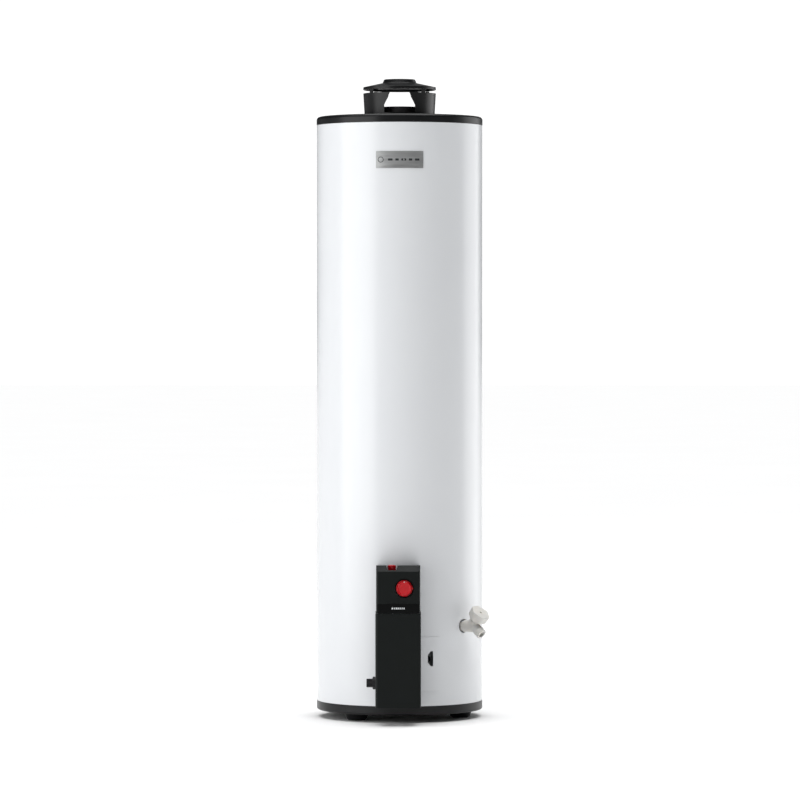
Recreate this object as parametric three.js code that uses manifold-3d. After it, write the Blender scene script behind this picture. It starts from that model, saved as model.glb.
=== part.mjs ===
// A gas storage water heater: a tall insulated tank on three feet, with a draft hood on top,
// a gas control under a black cover at the front and a plastic drain valve low on the right.
// Millimetres, +Z up, the control faces -Y. The origin is on the floor, under the middle of
// the heater's footprint; everything hangs in one group that stands on the tank's own axis.
import * as THREE from "three";
import { mergeVertices } from "three/addons/utils/BufferGeometryUtils.js";
import Module from "manifold-3d";

const wasm = await Module();
wasm.setup();

// ---------------------------------------------------------------- driving dimensions
const DEG = Math.PI / 180;
const GAP = 0.3; // what touching pieces keep between them
const SHELL_SIDES = 36; // sides of the casing and the hood
const TANK_SIDES = 24; // sides of the tank and what lies inside it
const SLIDING_SIDES = 144; // finer, where one curved sheet slides over another
const PIPE_SIDES = 16; // sides of pipes and spuds

const JACKET_RADIUS = 200;
const JACKET_SHEET = 1.5;
const JACKET_BOTTOM = 40;
const JACKET_TOP = 1428;
const SEAM_RISE = 1.2; // the lock seam down the back of the jacket
const SEAM_WIDTH = 14;

const RIM_RADIUS = JACKET_RADIUS + 0.4; // the cap and the pan stand this far out
const CAP_TOP = 1449;
const PAN_BOTTOM = 18;
const FOOT_CIRCLE = 150;
const FOOT_ANGLES = { foot_left: -43.2, foot_right: 76.8, foot_rear: 196.8 };

const TANK_RADIUS = 178;
const TANK_WALL = 2.5;
const TANK_TOP = 1385; // where the shell meets the top head
const CHAMBER_TOP = 197; // where the shell meets the bottom head
const FLUE_RADIUS = 51;
const FLUE_WALL = 2.5;
const FLUE_TOP = 1472;
const WATER_OFFSET = 120; // hot and cold, left and right of the flue
const ANODE_OFFSET = 112; // behind the flue
const SPUD_OUTER = 16.5;
const SPUD_BORE = 12;
const SPUD_TOP = 1451.5;

const HOOD_FOOT = CAP_TOP + GAP;
const HOOD_RADIUS_LOW = 84.5;
const HOOD_RADIUS_HIGH = 87.7;
const HOOD_WALL = 1.6;
const HOOD_SILL = 1456; // lower edge of the two windows
const HOOD_SHOULDER = 1474; // where the window sides start to lean in
const HOOD_WALL_TOP = 1505;
const WINDOW_HALF_LOW = 36.8;
const WINDOW_HALF_HIGH = 23;
const LID_RIM = 1513.5;
const LID_LIP = 5;
const LID_CONE_TOP = 1530.5;
const LID_TOP = 1539;
const COLLAR_RADIUS = 37;
const TAB_ANGLES = [-51, 41, 129, 221];
const TAB_WIDTH = 12;

const COVER_FRONT = 290; // distance from the tank's axis to the cover's front face
const COVER_X = -3.3;
const UPPER_WIDTH = 104;
const LOWER_WIDTH = 107.6;
const COVER_WALL = 2.5;
const COVER_CORNER = 6;
const COVER_SPLIT = 267.4;
const COVER_BOTTOM = 44.5;
const COVER_TOP = 380;
const COVER_BEVEL = 14;
const STRIP_TOP = 289.6;

const DIAL_X = 11;
const DIAL_Z = 326.5;
const DIAL_RADIUS = 19.5;
const DIAL_FRONT = COVER_FRONT + 9;
const BUTTON_X = -18.2;
const BUTTON_Y = -250;
const BUTTON_RADIUS = 9.5;
const BUTTON_TRAVEL = 6;
const VALVE_TOP = 356;

const DOOR_LEFT = 4; // degrees round from the front
const DOOR_RIGHT = 28.8;
const DOOR_BOTTOM = 76;
const DOOR_TOP = 205;
const SLOT_ANGLE = 21.4; // the finger slot
const SLOT_Z = 153;

const GAS_Z = 100;
const GAS_Y = -245;
const GAS_END = -78.4;

const PILOT_X = -26;
const PILOT_Y = -95;

const DRAIN_ANGLE = 50;
const DRAIN_Z = 227;
const BONNET_TILT = 50; // degrees up from level
const OUTLET_TILT = -40;
const BONNET_REACH = JACKET_RADIUS + 23.6;
const OUTLET_REACH = JACKET_RADIUS + 33.8;
const BONNET_TOP = 19;
const STEM_TOP = 34;
const WHEEL_BASE = 25;
const WHEEL_TOP = 46;
const WHEEL_RADIUS = 24.5;

// The footprint runs from the dial's face to the seam at the back.
const AXIS_Y = (DIAL_FRONT - (JACKET_RADIUS + SEAM_RISE)) / 2;

// ---------------------------------------------------------------- finishes
function finish(color, roughness, metalness) {
  return new THREE.MeshStandardMaterial({ color, roughness, metalness });
}
const whiteEnamel = finish("#f0f1f3", 0.3, 0.1);
const blackEnamel = finish("#26282a", 0.4, 0.2);
const blackPlastic = finish("#1b2322", 0.5, 0);
const glossBlack = finish("#060809", 0.15, 0);
const brushedPlate = finish("#a9a9a8", 0.35, 0.9);
const redPlastic = finish("#b8141d", 0.2, 0);
const ivoryPlastic = finish("#c9c8c4", 0.55, 0);
const rawSteel = finish("#77787a", 0.5, 0.9);
const glassedSteel = finish("#3c4a58", 0.35, 0.5);
const galvanised = finish("#a7abad", 0.45, 0.8);
const castAluminium = finish("#9c9fa1", 0.55, 0.85);
const blackPipe = finish("#141516", 0.5, 0.4);
const brass = finish("#b08d45", 0.3, 1);
const copper = finish("#b06a45", 0.3, 1);
const foam = finish("#d9c48a", 0.95, 0);
const magnesium = finish("#8d9092", 0.6, 0.7);
const rubber = finish("#202020", 0.9, 0);

// ---------------------------------------------------------------- solids
// Every helper below returns a closed geometry, so that cuts and joins can be nested.
function solidOf(geometry) {
  const bare = geometry.index ? geometry.toNonIndexed() : geometry.clone();
  bare.deleteAttribute("normal");
  bare.deleteAttribute("uv");
  const merged = mergeVertices(bare, 1e-4);
  return new wasm.Manifold(
    new wasm.Mesh({
      numProp: 3,
      vertProperties: new Float32Array(merged.attributes.position.array),
      triVerts: new Uint32Array(merged.index.array),
    }),
  );
}

function geometryOf(solid) {
  const mesh = solid.getMesh();
  const geometry = new THREE.BufferGeometry();
  geometry.setAttribute("position", new THREE.BufferAttribute(mesh.vertProperties, 3));
  geometry.setIndex(new THREE.BufferAttribute(mesh.triVerts, 1));
  geometry.computeVertexNormals();
  return geometry;
}

function join(first, ...others) {
  return geometryOf(others.reduce((sum, piece) => sum.add(solidOf(piece)), solidOf(first)));
}

function cut(first, ...tools) {
  return geometryOf(tools.reduce((rest, tool) => rest.subtract(solidOf(tool)), solidOf(first)));
}

function common(first, second) {
  return geometryOf(solidOf(first).intersect(solidOf(second)));
}

// A profile of [radius, height] points turned about Z, running up the outside and down the inside.
function turned(profile, sides = SHELL_SIDES) {
  const points = profile.map(([radius, height]) => new THREE.Vector2(radius, height));
  const onAxis = profile[0][0] === 0;
  if (!onAxis) points.push(points[0].clone());
  return new THREE.LatheGeometry(points, sides).rotateX(Math.PI / 2);
}

function tube(inner, outer, low, high, sides = PIPE_SIDES) {
  return turned([[outer, low], [outer, high], [inner, high], [inner, low]], sides);
}

function rod(radius, low, high, sides = PIPE_SIDES) {
  return turned([[0, low], [radius, low], [radius, high], [0, high]], sides);
}

function block(x, y, z) {
  return new THREE.BoxGeometry(x[1] - x[0], y[1] - y[0], z[1] - z[0]).translate(
    (x[0] + x[1]) / 2,
    (y[0] + y[1]) / 2,
    (z[0] + z[1]) / 2,
  );
}

// An outline in the XY plane raised from low to high.
function raised(outline, low, high) {
  const shape = Array.isArray(outline)
    ? new THREE.Shape(outline.map(([x, y]) => new THREE.Vector2(x, y)))
    : outline;
  const settings = { depth: high - low, bevelEnabled: false, curveSegments: 6 };
  return new THREE.ExtrudeGeometry(shape, settings).translate(0, 0, low);
}

// A sector of the plan, from one angle to another, used to cut or keep part of a round shell.
function sector(from, to, reach, low, high) {
  const outline = [[0, 0]];
  for (let i = 0; i <= 6; i++) outline.push(round(from + ((to - from) * i) / 6, reach));
  return raised(outline, low, high);
}

// The plan position at an angle round from the front, positive to the right.
function round(angle, radius) {
  return [radius * Math.sin(angle * DEG), -radius * Math.cos(angle * DEG)];
}

// A pipe or wire along a smooth route; hollow when it has a bore.
function piped(points, radius, bore, steps, sides = 12) {
  const knots = points.map((p) => new THREE.Vector3(...p));
  const route = new THREE.CatmullRomCurve3(knots, false, "centripetal");
  const section = new THREE.Shape();
  section.absarc(0, 0, radius, 0, 2 * Math.PI, false);
  if (bore > 0) {
    const hole = new THREE.Path();
    hole.absarc(0, 0, bore, 0, 2 * Math.PI, true);
    section.holes.push(hole);
  }
  const settings = { steps, extrudePath: route, curveSegments: sides / 2, bevelEnabled: false };
  return new THREE.ExtrudeGeometry(section, settings);
}

// A rod lying along Y, from the distances given in front of the tank's axis.
function frontRod(radius, x, z, near, far, sides = PIPE_SIDES) {
  return rod(radius, near, far, sides).rotateX(Math.PI / 2).translate(x, 0, z);
}

// A hole or rod that leaves the tank level, at an angle round from the front.
function radialRod(radius, angle, z, near, far, sides = PIPE_SIDES) {
  return frontRod(radius, 0, z, near, far, sides).rotateZ(angle * DEG);
}

function hexagon(acrossFlats, low, high) {
  return rod(acrossFlats / Math.sqrt(3), low, high, 6);
}

function place(parent, name, geometry, material) {
  const mesh = new THREE.Mesh(geometry, material);
  mesh.name = name;
  parent.add(mesh);
  return mesh;
}

// ---------------------------------------------------------------- outer casing
function jacket() {
  const inner = JACKET_RADIUS - JACKET_SHEET;
  const low = JACKET_BOTTOM + GAP;
  const high = JACKET_TOP - GAP;
  const shell = tube(inner, JACKET_RADIUS, low, high, SHELL_SIDES);
  const seam = block(
    [-SEAM_WIDTH / 2, SEAM_WIDTH / 2],
    [JACKET_RADIUS - 1, JACKET_RADIUS + SEAM_RISE],
    [low, high],
  );
  const doorway = sector(-12, DOOR_RIGHT - 3, 240, DOOR_BOTTOM + 8, DOOR_TOP - 8);
  const tubePass = sector(-10, 3, 240, DOOR_BOTTOM - 10, DOOR_BOTTOM + 60);
  const drainHole = radialRod(16.7, DRAIN_ANGLE, DRAIN_Z, 150, 230);
  const controlHole = frontRod(20, 0, DIAL_Z, 150, 230);
  return cut(join(shell, seam), doorway, tubePass, drainHole, controlHole);
}

function cap() {
  const lipOut = JACKET_RADIUS - JACKET_SHEET - 0.7;
  const lipIn = lipOut - 2;
  const shoulder = 8;
  const profile = [[RIM_RADIUS, JACKET_TOP + GAP]];
  for (let i = 0; i <= 3; i++) {
    const turn = i * 30 * DEG;
    profile.push([
      RIM_RADIUS - shoulder + shoulder * Math.cos(turn),
      CAP_TOP - shoulder + shoulder * Math.sin(turn),
    ]);
  }
  profile.push([FLUE_RADIUS + 2, CAP_TOP]);
  profile.push([FLUE_RADIUS + 2, CAP_TOP - 2.5]);
  profile.push([lipIn - 4, CAP_TOP - 2.5]);
  profile.push([lipIn, CAP_TOP - 8]);
  profile.push([lipIn, JACKET_TOP - 12]);
  profile.push([lipOut, JACKET_TOP - 12]);
  profile.push([lipOut, JACKET_TOP + GAP]);
  const hole = SPUD_OUTER + 0.8;
  return cut(
    turned(profile),
    rod(hole, 1400, 1500).translate(WATER_OFFSET, 0, 0),
    rod(hole, 1400, 1500).translate(-WATER_OFFSET, 0, 0),
    rod(hole, 1400, 1500).translate(0, ANODE_OFFSET, 0),
  );
}

function basePan() {
  const lipOut = JACKET_RADIUS - JACKET_SHEET - 0.7;
  const lipIn = lipOut - 2;
  const airHole = 60;
  return turned([
    [airHole, PAN_BOTTOM],
    [RIM_RADIUS - 5, PAN_BOTTOM],
    [RIM_RADIUS, PAN_BOTTOM + 5],
    [RIM_RADIUS, JACKET_BOTTOM],
    [lipOut, JACKET_BOTTOM],
    [lipOut, JACKET_BOTTOM + 12],
    [lipIn, JACKET_BOTTOM + 12],
    [lipIn, PAN_BOTTOM + 9],
    [lipIn - 4, PAN_BOTTOM + 2],
    [airHole, PAN_BOTTOM + 2],
  ]);
}

// A pressed cup, open upwards, that stands on its flat bottom.
function foot() {
  const top = PAN_BOTTOM - GAP;
  return turned(
    [[0, 0], [20, 0], [23, 3], [29, top], [27, top], [21.5, 4], [19, 2], [0, 2]],
    PIPE_SIDES,
  );
}

function badge() {
  const plate = tube(JACKET_RADIUS + GAP, JACKET_RADIUS + GAP + 0.9, 1318.2, 1358.6, SHELL_SIDES);
  return common(plate, sector(-16.2, 16.2, 240, 1300, 1380));
}

// The sliding lighting door: a curved plate with a half-hexagon finger slot near its right edge.
function accessDoor() {
  const inner = JACKET_RADIUS + GAP;
  const plate = tube(inner, inner + 1.2, DOOR_BOTTOM, DOOR_TOP, SLIDING_SIDES);
  const outline = [[6.8, -18], [6.8, 18], [0.9, 18], [-6.8, 9.4], [-6.8, -9.4], [0.9, -18]];
  const slot = raised(outline, 150, 240)
    .rotateX(Math.PI / 2)
    .translate(0, 0, SLOT_Z)
    .rotateZ(SLOT_ANGLE * DEG);
  return cut(common(plate, sector(DOOR_LEFT, DOOR_RIGHT, 240, 60, 240)), slot);
}

// ---------------------------------------------------------------- draft hood
function hoodBody() {
  const lean = (HOOD_RADIUS_HIGH - HOOD_RADIUS_LOW) / (HOOD_WALL_TOP - HOOD_FOOT);
  const wallAt = (z) => HOOD_RADIUS_LOW + lean * (z - HOOD_FOOT);
  const tabTop = LID_RIM - GAP;
  const wall = turned([
    [wallAt(HOOD_FOOT), HOOD_FOOT],
    [wallAt(tabTop), tabTop],
    [wallAt(tabTop) - HOOD_WALL, tabTop],
    [wallAt(HOOD_FOOT) - HOOD_WALL, HOOD_FOOT + 1.6],
    [64, HOOD_FOOT + 1.6],
    [64, HOOD_FOOT],
  ]);
  const window = raised(
    [
      [-WINDOW_HALF_LOW, HOOD_SILL],
      [WINDOW_HALF_LOW, HOOD_SILL],
      [WINDOW_HALF_LOW, HOOD_SHOULDER],
      [WINDOW_HALF_HIGH, HOOD_WALL_TOP + 0.01],
      [-WINDOW_HALF_HIGH, HOOD_WALL_TOP + 0.01],
      [-WINDOW_HALF_LOW, HOOD_SHOULDER],
    ],
    -150,
    150,
  ).rotateX(Math.PI / 2);
  const above = block([-120, 120], [-120, 120], [HOOD_WALL_TOP, LID_RIM + 5]);
  const tabs = TAB_ANGLES.map((angle) =>
    block([-TAB_WIDTH / 2, TAB_WIDTH / 2], [-130, -40], [HOOD_WALL_TOP - 1, LID_RIM + 6]).rotateZ(
      angle * DEG,
    ),
  );
  return cut(wall, window, cut(above, ...tabs));
}

function hoodLid() {
  const rim = HOOD_RADIUS_HIGH;
  const sheet = 1.8;
  return turned([
    [rim, LID_RIM],
    [rim, LID_RIM + LID_LIP],
    [COLLAR_RADIUS + 4, LID_CONE_TOP],
    [COLLAR_RADIUS + 1.5, LID_CONE_TOP + 1],
    [COLLAR_RADIUS, LID_TOP],
    [COLLAR_RADIUS - sheet, LID_TOP],
    [COLLAR_RADIUS - 0.5, LID_CONE_TOP - 1.2],
    [rim - sheet - 1.4, LID_RIM + LID_LIP - sheet],
    [rim - sheet - 1.4, LID_RIM],
  ]);
}

// ---------------------------------------------------------------- tank and flue
function tankShell() {
  const inner = TANK_RADIUS - TANK_WALL;
  const flueHole = FLUE_RADIUS + GAP;
  const domeTop = TANK_TOP + 24;
  const archTop = CHAMBER_TOP + 26;
  const profile = [
    [TANK_RADIUS, PAN_BOTTOM + 2 + GAP],
    [TANK_RADIUS, TANK_TOP],
    [150, TANK_TOP + 17],
    [100, domeTop - 2],
    [flueHole, domeTop],
    [flueHole, domeTop - TANK_WALL],
    [100, domeTop - 2 - TANK_WALL],
    [149, TANK_TOP + 17 - TANK_WALL],
    [inner, TANK_TOP - 1.5],
    [inner, CHAMBER_TOP],
    [149, CHAMBER_TOP + 16 + TANK_WALL],
    [flueHole, archTop],
    [flueHole, archTop - TANK_WALL],
    [149, CHAMBER_TOP + 16],
    [inner, CHAMBER_TOP - 3],
    [inner, PAN_BOTTOM + 2 + GAP],
  ];
  const shell = turned(profile, TANK_SIDES);
  const hole = SPUD_OUTER + GAP;
  return cut(
    shell,
    rod(hole, 1350, 1450).translate(WATER_OFFSET, 0, 0),
    rod(hole, 1350, 1450).translate(-WATER_OFFSET, 0, 0),
    rod(hole, 1350, 1450).translate(0, ANODE_OFFSET, 0),
    radialRod(hole, DRAIN_ANGLE, DRAIN_Z, 150, 200),
    radialRod(hole, 0, DIAL_Z, 150, 200),
    sector(-22, 28, 200, 62, 180),
  );
}

function insulation() {
  const inner = TANK_RADIUS + 0.6;
  const outer = JACKET_RADIUS - JACKET_SHEET - 1.3;
  const profile = [
    [inner, 212],
    [outer, 212],
    [outer, JACKET_TOP - 14],
    [outer - 4, JACKET_TOP - 14],
    [outer - 4, CAP_TOP - 9],
    [FLUE_RADIUS + 1, CAP_TOP - 4],
    [FLUE_RADIUS + 1, TANK_TOP + 28],
    [101, TANK_TOP + 26],
    [152, TANK_TOP + 20],
    [inner, TANK_TOP + 3],
  ];
  const sleeve = turned(profile, TANK_SIDES);
  const hole = SPUD_OUTER + 0.7;
  return cut(
    sleeve,
    rod(hole, 1350, 1460).translate(WATER_OFFSET, 0, 0),
    rod(hole, 1350, 1460).translate(-WATER_OFFSET, 0, 0),
    rod(hole, 1350, 1460).translate(0, ANODE_OFFSET, 0),
    radialRod(hole, DRAIN_ANGLE, DRAIN_Z, 150, 230),
    radialRod(hole, 0, DIAL_Z, 150, 230),
  );
}

function flueTube() {
  return tube(FLUE_RADIUS - FLUE_WALL, FLUE_RADIUS, 205, FLUE_TOP, TANK_SIDES);
}

// A flat strip twisted as it climbs the flue, which slows the hot gas down.
function flueBaffle() {
  const width = 2 * (FLUE_RADIUS - FLUE_WALL) - 8;
  const low = 420;
  const height = 1010;
  const strip = new THREE.ExtrudeGeometry(
    new THREE.Shape([
      new THREE.Vector2(-width / 2, -1),
      new THREE.Vector2(width / 2, -1),
      new THREE.Vector2(width / 2, 1),
      new THREE.Vector2(-width / 2, 1),
    ]),
    { depth: height, steps: 30, bevelEnabled: false },
  );
  const halfTurns = 5;
  const points = strip.attributes.position;
  for (let i = 0; i < points.count; i++) {
    const twist = (points.getZ(i) / height) * halfTurns * Math.PI;
    const x = points.getX(i);
    const y = points.getY(i);
    points.setX(i, x * Math.cos(twist) - y * Math.sin(twist));
    points.setY(i, x * Math.sin(twist) + y * Math.cos(twist));
  }
  return strip.translate(0, 0, low);
}

function anodeRod() {
  const thread = SPUD_BORE - GAP;
  return join(
    rod(9.5, 520, 1396, 16),
    rod(thread, 1395, SPUD_TOP + 1),
    hexagon(27, SPUD_TOP + GAP, SPUD_TOP + 9),
  );
}

function dipTube() {
  return turned(
    [
      [9.5, 410],
      [9.5, 1428],
      [SPUD_BORE - 0.4, 1432],
      [SPUD_BORE - 0.4, 1435],
      [8, 1435],
      [8, 410],
    ],
    PIPE_SIDES,
  );
}

// ---------------------------------------------------------------- combustion chamber
function radiationShield() {
  const plate = turned([[0, 34], [112, 34], [118, 38], [117, 39.5], [111, 36], [0, 36]], TANK_SIDES);
  const legs = [60, 180, 300].map((angle) =>
    block([-8, 8], [-108, -106], [PAN_BOTTOM + 2 + GAP, 35]).rotateZ(angle * DEG),
  );
  return join(plate, ...legs);
}

function burnerHead() {
  const body = turned(
    [[0, 68], [62, 68], [78, 76], [82, 84], [74, 90], [30, 94], [0, 95]],
    TANK_SIDES,
  );
  const socket = frontRod(15, 0, 80, 60, 96);
  const bore = frontRod(11, 0, 80, 40, 120);
  const ports = [];
  for (let i = 0; i < 10; i++) {
    ports.push(block([-1.5, 1.5], [-70, -40], [86, 99]).rotateZ((i * 36 + 18) * DEG));
  }
  const hollow = turned(
    [[0, 71], [60, 71], [74, 78], [78, 84], [72, 87], [30, 91], [0, 92]],
    TANK_SIDES,
  );
  return cut(join(body, socket), hollow, bore, ...ports);
}

function mixerTube() {
  return turned(
    [[10.6, 84], [10.6, 128], [13, 150], [13, 162], [11, 162], [11, 149], [8.6, 127], [8.6, 84]],
    PIPE_SIDES,
  ).rotateX(Math.PI / 2).translate(0, 0, 80);
}

// A curved plate that closes the doorway in the tank's skirt, notched for the gas tubes.
function innerDoor() {
  const inner = TANK_RADIUS + 1.2;
  const plate = tube(inner, inner + 1.5, 50, 192, SHELL_SIDES);
  return cut(
    common(plate, sector(-26, 32, 200, 40, 200)),
    frontRod(16, 0, 80, 150, 200),
    frontRod(4, PILOT_X, 78, 150, 200),
    frontRod(9, 64, 150, 120, 220),
  );
}

function pilotBurner() {
  return join(
    block([-42, -19], [-88.5, -86.5], [84, 112]),
    rod(5, 96, 126).translate(PILOT_X, PILOT_Y, 0),
    block([PILOT_X - 4, PILOT_X + 4], [PILOT_Y, -87], [100, 106]),
    block([PILOT_X - 6, PILOT_X + 6], [PILOT_Y - 6, -88], [125, 127]),
  );
}

function burnerSupplyTube() {
  const route = [
    [20, GAS_Y, 277.6],
    [20, GAS_Y, 240],
    [19, GAS_Y, 150],
    [10, GAS_Y, 100],
    [0, -232, 82],
    [0, -215, 80],
    [0, -186, 80],
  ];
  return piped(route, 5, 3.6, 16, 8);
}

function pilotSupplyTube() {
  const route = [
    [0, GAS_Y, 287.6],
    [0, GAS_Y, 250],
    [-3, GAS_Y, 180],
    [-5, GAS_Y, 120],
    [-12, -240, 88],
    [-22, -225, 80],
    [PILOT_X, -205, 78],
    [PILOT_X, -150, 78],
    [PILOT_X, -110, 80],
    [PILOT_X, PILOT_Y - 2, 88],
    [PILOT_X, PILOT_Y, 95.6],
  ];
  return piped(route, 1.8, 0, 28, 6);
}

function burnerOrifice() {
  const nozzle = cut(hexagon(14, 164, 185.6), rod(1.5, 150, 180, 8));
  return nozzle.rotateX(Math.PI / 2).translate(0, 0, 80);
}

// ---------------------------------------------------------------- gas control
function gasValve() {
  const body = block([-46, 38], [-262, -216], [288, VALVE_TOP]);
  const shank = frontRod(SPUD_BORE - GAP, 0, DIAL_Z, 186, 220);
  const collar = frontRod(18, 0, DIAL_Z, 203, 218);
  const dialBoss = frontRod(14, DIAL_X, DIAL_Z, 260, 271);
  const buttonBoss = rod(8, VALVE_TOP - 2, VALVE_TOP + 1.5).translate(BUTTON_X, BUTTON_Y, 0);
  const inletBoss = rod(15, 276, 290).translate(-28, GAS_Y, 0);
  const outletBoss = rod(10, 278, 290).translate(20, GAS_Y, 0);
  const corner = 9;
  const chamfer = raised(
    [[-50, -corner], [-50, 10], [corner, 10]],
    200,
    300,
  ).rotateX(Math.PI / 2).translate(-46, 0, VALVE_TOP);
  return cut(
    join(cut(body, chamfer), shank, collar, dialBoss, buttonBoss, inletBoss, outletBoss),
    frontRod(4.4, DIAL_X, DIAL_Z, 240, 280),
    frontRod(5.4, 0, DIAL_Z, 150, 240),
    rod(4.4, VALVE_TOP - 22, VALVE_TOP + 5).translate(BUTTON_X, BUTTON_Y, 0),
    rod(8.5, 270, 300).translate(-28, GAS_Y, 0),
    rod(4.5, 270, 300).translate(20, GAS_Y, 0),
    rod(2.2, 280, 300).translate(0, GAS_Y, 0),
  );
}

// The disc behind the dial that closes the round hole in the cover.
function dialBackplate() {
  const disc = frontRod(21.8, DIAL_X, DIAL_Z, 272, 273.5, SHELL_SIDES);
  return cut(disc, frontRod(6, DIAL_X, DIAL_Z, 265, 280));
}

function temperatureDial() {
  const back = COVER_FRONT - 4;
  const bevel = 2.5;
  const knob = turned(
    [
      [0, back],
      [DIAL_RADIUS, back],
      [DIAL_RADIUS, DIAL_FRONT - 4],
      [DIAL_RADIUS - bevel, DIAL_FRONT - 0.8],
      [DIAL_RADIUS - bevel - 1.2, DIAL_FRONT],
      [DIAL_RADIUS - 5, DIAL_FRONT - 1.6],
      [0, DIAL_FRONT - 1.6],
    ],
    32,
  );
  const pointer = raised(
    [[DIAL_RADIUS - 1.5, -3.5], [DIAL_RADIUS + 2, 0], [DIAL_RADIUS - 1.5, 3.5]],
    back,
    DIAL_FRONT - 4,
  );
  const grip = block([-4.5, 4.5], [-13, 13], [DIAL_FRONT - 2, DIAL_FRONT - 0.5]);
  const bore = rod(3.4, back - 1, back + 6, 16);
  return cut(join(knob, pointer, grip), bore).rotateX(Math.PI / 2).translate(DIAL_X, 0, DIAL_Z);
}

function pilotButton() {
  const head = VALVE_TOP + BUTTON_TRAVEL + 4;
  return turned(
    [
      [0, VALVE_TOP - 12],
      [4, VALVE_TOP - 12],
      [4, head],
      [BUTTON_RADIUS, head],
      [BUTTON_RADIUS, COVER_TOP - 2.5],
      [BUTTON_RADIUS - 2, COVER_TOP - 0.5],
      [0, COVER_TOP],
    ],
    PIPE_SIDES,
  ).translate(BUTTON_X, BUTTON_Y, 0);
}

// A black iron pipe drops from the control and turns to the left at the bottom.
function gasPipe() {
  return piped(
    [
      [-28, GAS_Y, 275.7],
      [-28, GAS_Y, 240],
      [-28, GAS_Y, 150],
      [-28, GAS_Y, 120],
      [-33, GAS_Y, 105],
      [-43, GAS_Y, GAS_Z],
      [-50, GAS_Y, GAS_Z],
    ],
    10.6,
    7.8,
    12,
  );
}

function alongMinusX(geometry) {
  return geometry.rotateY(-Math.PI / 2).translate(0, GAS_Y, GAS_Z);
}

function gasCoupling() {
  return alongMinusX(cut(hexagon(26, 50.4, 64), rod(10.9, 40, 80)));
}

function gasNipple() {
  return alongMinusX(tube(7.9, 10.6, 50.8, -GAS_END));
}

// ---------------------------------------------------------------- control covers
// The plan of a cover: a channel that is open towards the tank, with rounded front corners.
function channelPlan(width, inset) {
  const left = COVER_X - width / 2 + inset;
  const right = COVER_X + width / 2 - inset;
  const front = -COVER_FRONT + inset;
  const corner = Math.max(COVER_CORNER - inset, 0.5);
  const back = -150;
  const plan = new THREE.Shape();
  plan.moveTo(left, back);
  plan.lineTo(left, front + corner);
  plan.absarc(left + corner, front + corner, corner, Math.PI, 1.5 * Math.PI, false);
  plan.lineTo(right - corner, front);
  plan.absarc(right - corner, front + corner, corner, 1.5 * Math.PI, 2 * Math.PI, false);
  plan.lineTo(right, back);
  return plan;
}

// The covers' rear edges follow the jacket, 2 mm clear of it.
function jacketClearance(low, high) {
  return rod(JACKET_RADIUS + 2, low - 5, high + 5, 2 * SHELL_SIDES);
}

// The space under a top wall that slopes down to the front face.
function underSlope(width, inset, low) {
  const top = COVER_TOP - inset;
  const front = COVER_FRONT - inset;
  const slope = COVER_BEVEL - inset * (Math.SQRT2 - 1);
  const side = raised(
    [
      [150, low],
      [front, low],
      [front, top - slope],
      [front - slope, top],
      [150, top],
    ],
    -width,
    width,
  );
  return side.rotateX(Math.PI / 2).rotateZ(-Math.PI / 2);
}

function upperCover() {
  const low = COVER_SPLIT + GAP;
  const outer = common(
    raised(channelPlan(UPPER_WIDTH, 0), low, COVER_TOP),
    underSlope(UPPER_WIDTH, 0, low),
  );
  const inner = common(
    raised(channelPlan(UPPER_WIDTH, COVER_WALL), low - 1, COVER_TOP - COVER_WALL),
    underSlope(UPPER_WIDTH, COVER_WALL, low - 1),
  );
  const notch = raised(
    [[-9.8, COVER_TOP - 11], [9.8, COVER_TOP - 11], [14.8, COVER_TOP + 1], [-14.8, COVER_TOP + 1]],
    150,
    320,
  ).rotateX(Math.PI / 2).translate(BUTTON_X, 0, 0);
  const dialHole = frontRod(22.6, DIAL_X, DIAL_Z, 270, 310, 32);
  return cut(outer, inner, jacketClearance(low, COVER_TOP), notch, dialHole);
}

function lowerCover() {
  const high = COVER_SPLIT - GAP;
  const outer = raised(channelPlan(LOWER_WIDTH, 0), COVER_BOTTOM, high);
  const inner = raised(channelPlan(LOWER_WIDTH, COVER_WALL), COVER_BOTTOM - 1, high + 1);
  const pipeNotch = block([-80, -40], [GAS_Y - 17, -150], [GAS_Z - 17, GAS_Z + 17]);
  return cut(outer, inner, jacketClearance(COVER_BOTTOM, high), pipeNotch);
}

function labelStrip() {
  const half = UPPER_WIDTH / 2 - COVER_CORNER;
  return block(
    [COVER_X - half, COVER_X + half],
    [-COVER_FRONT - 1, -COVER_FRONT - GAP],
    [COVER_SPLIT + 1, STRIP_TOP],
  );
}

// Two hooks on a sheet bracket carry the covers.
function coverBracket() {
  const plate = block([-40, 34], [-210, -208.4], [296, 350]);
  const left = block([-49, -47.4], [-250, -208.4], [296, 350]);
  const right = block([40, 41.6], [-250, -208.4], [296, 350]);
  const joinLeft = block([-49, -38], [-210, -208.4], [296, 350]);
  const joinRight = block([33, 41.6], [-210, -208.4], [296, 350]);
  return cut(join(plate, joinLeft, joinRight, left, right), frontRod(18.6, 0, DIAL_Z, 200, 220));
}

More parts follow.
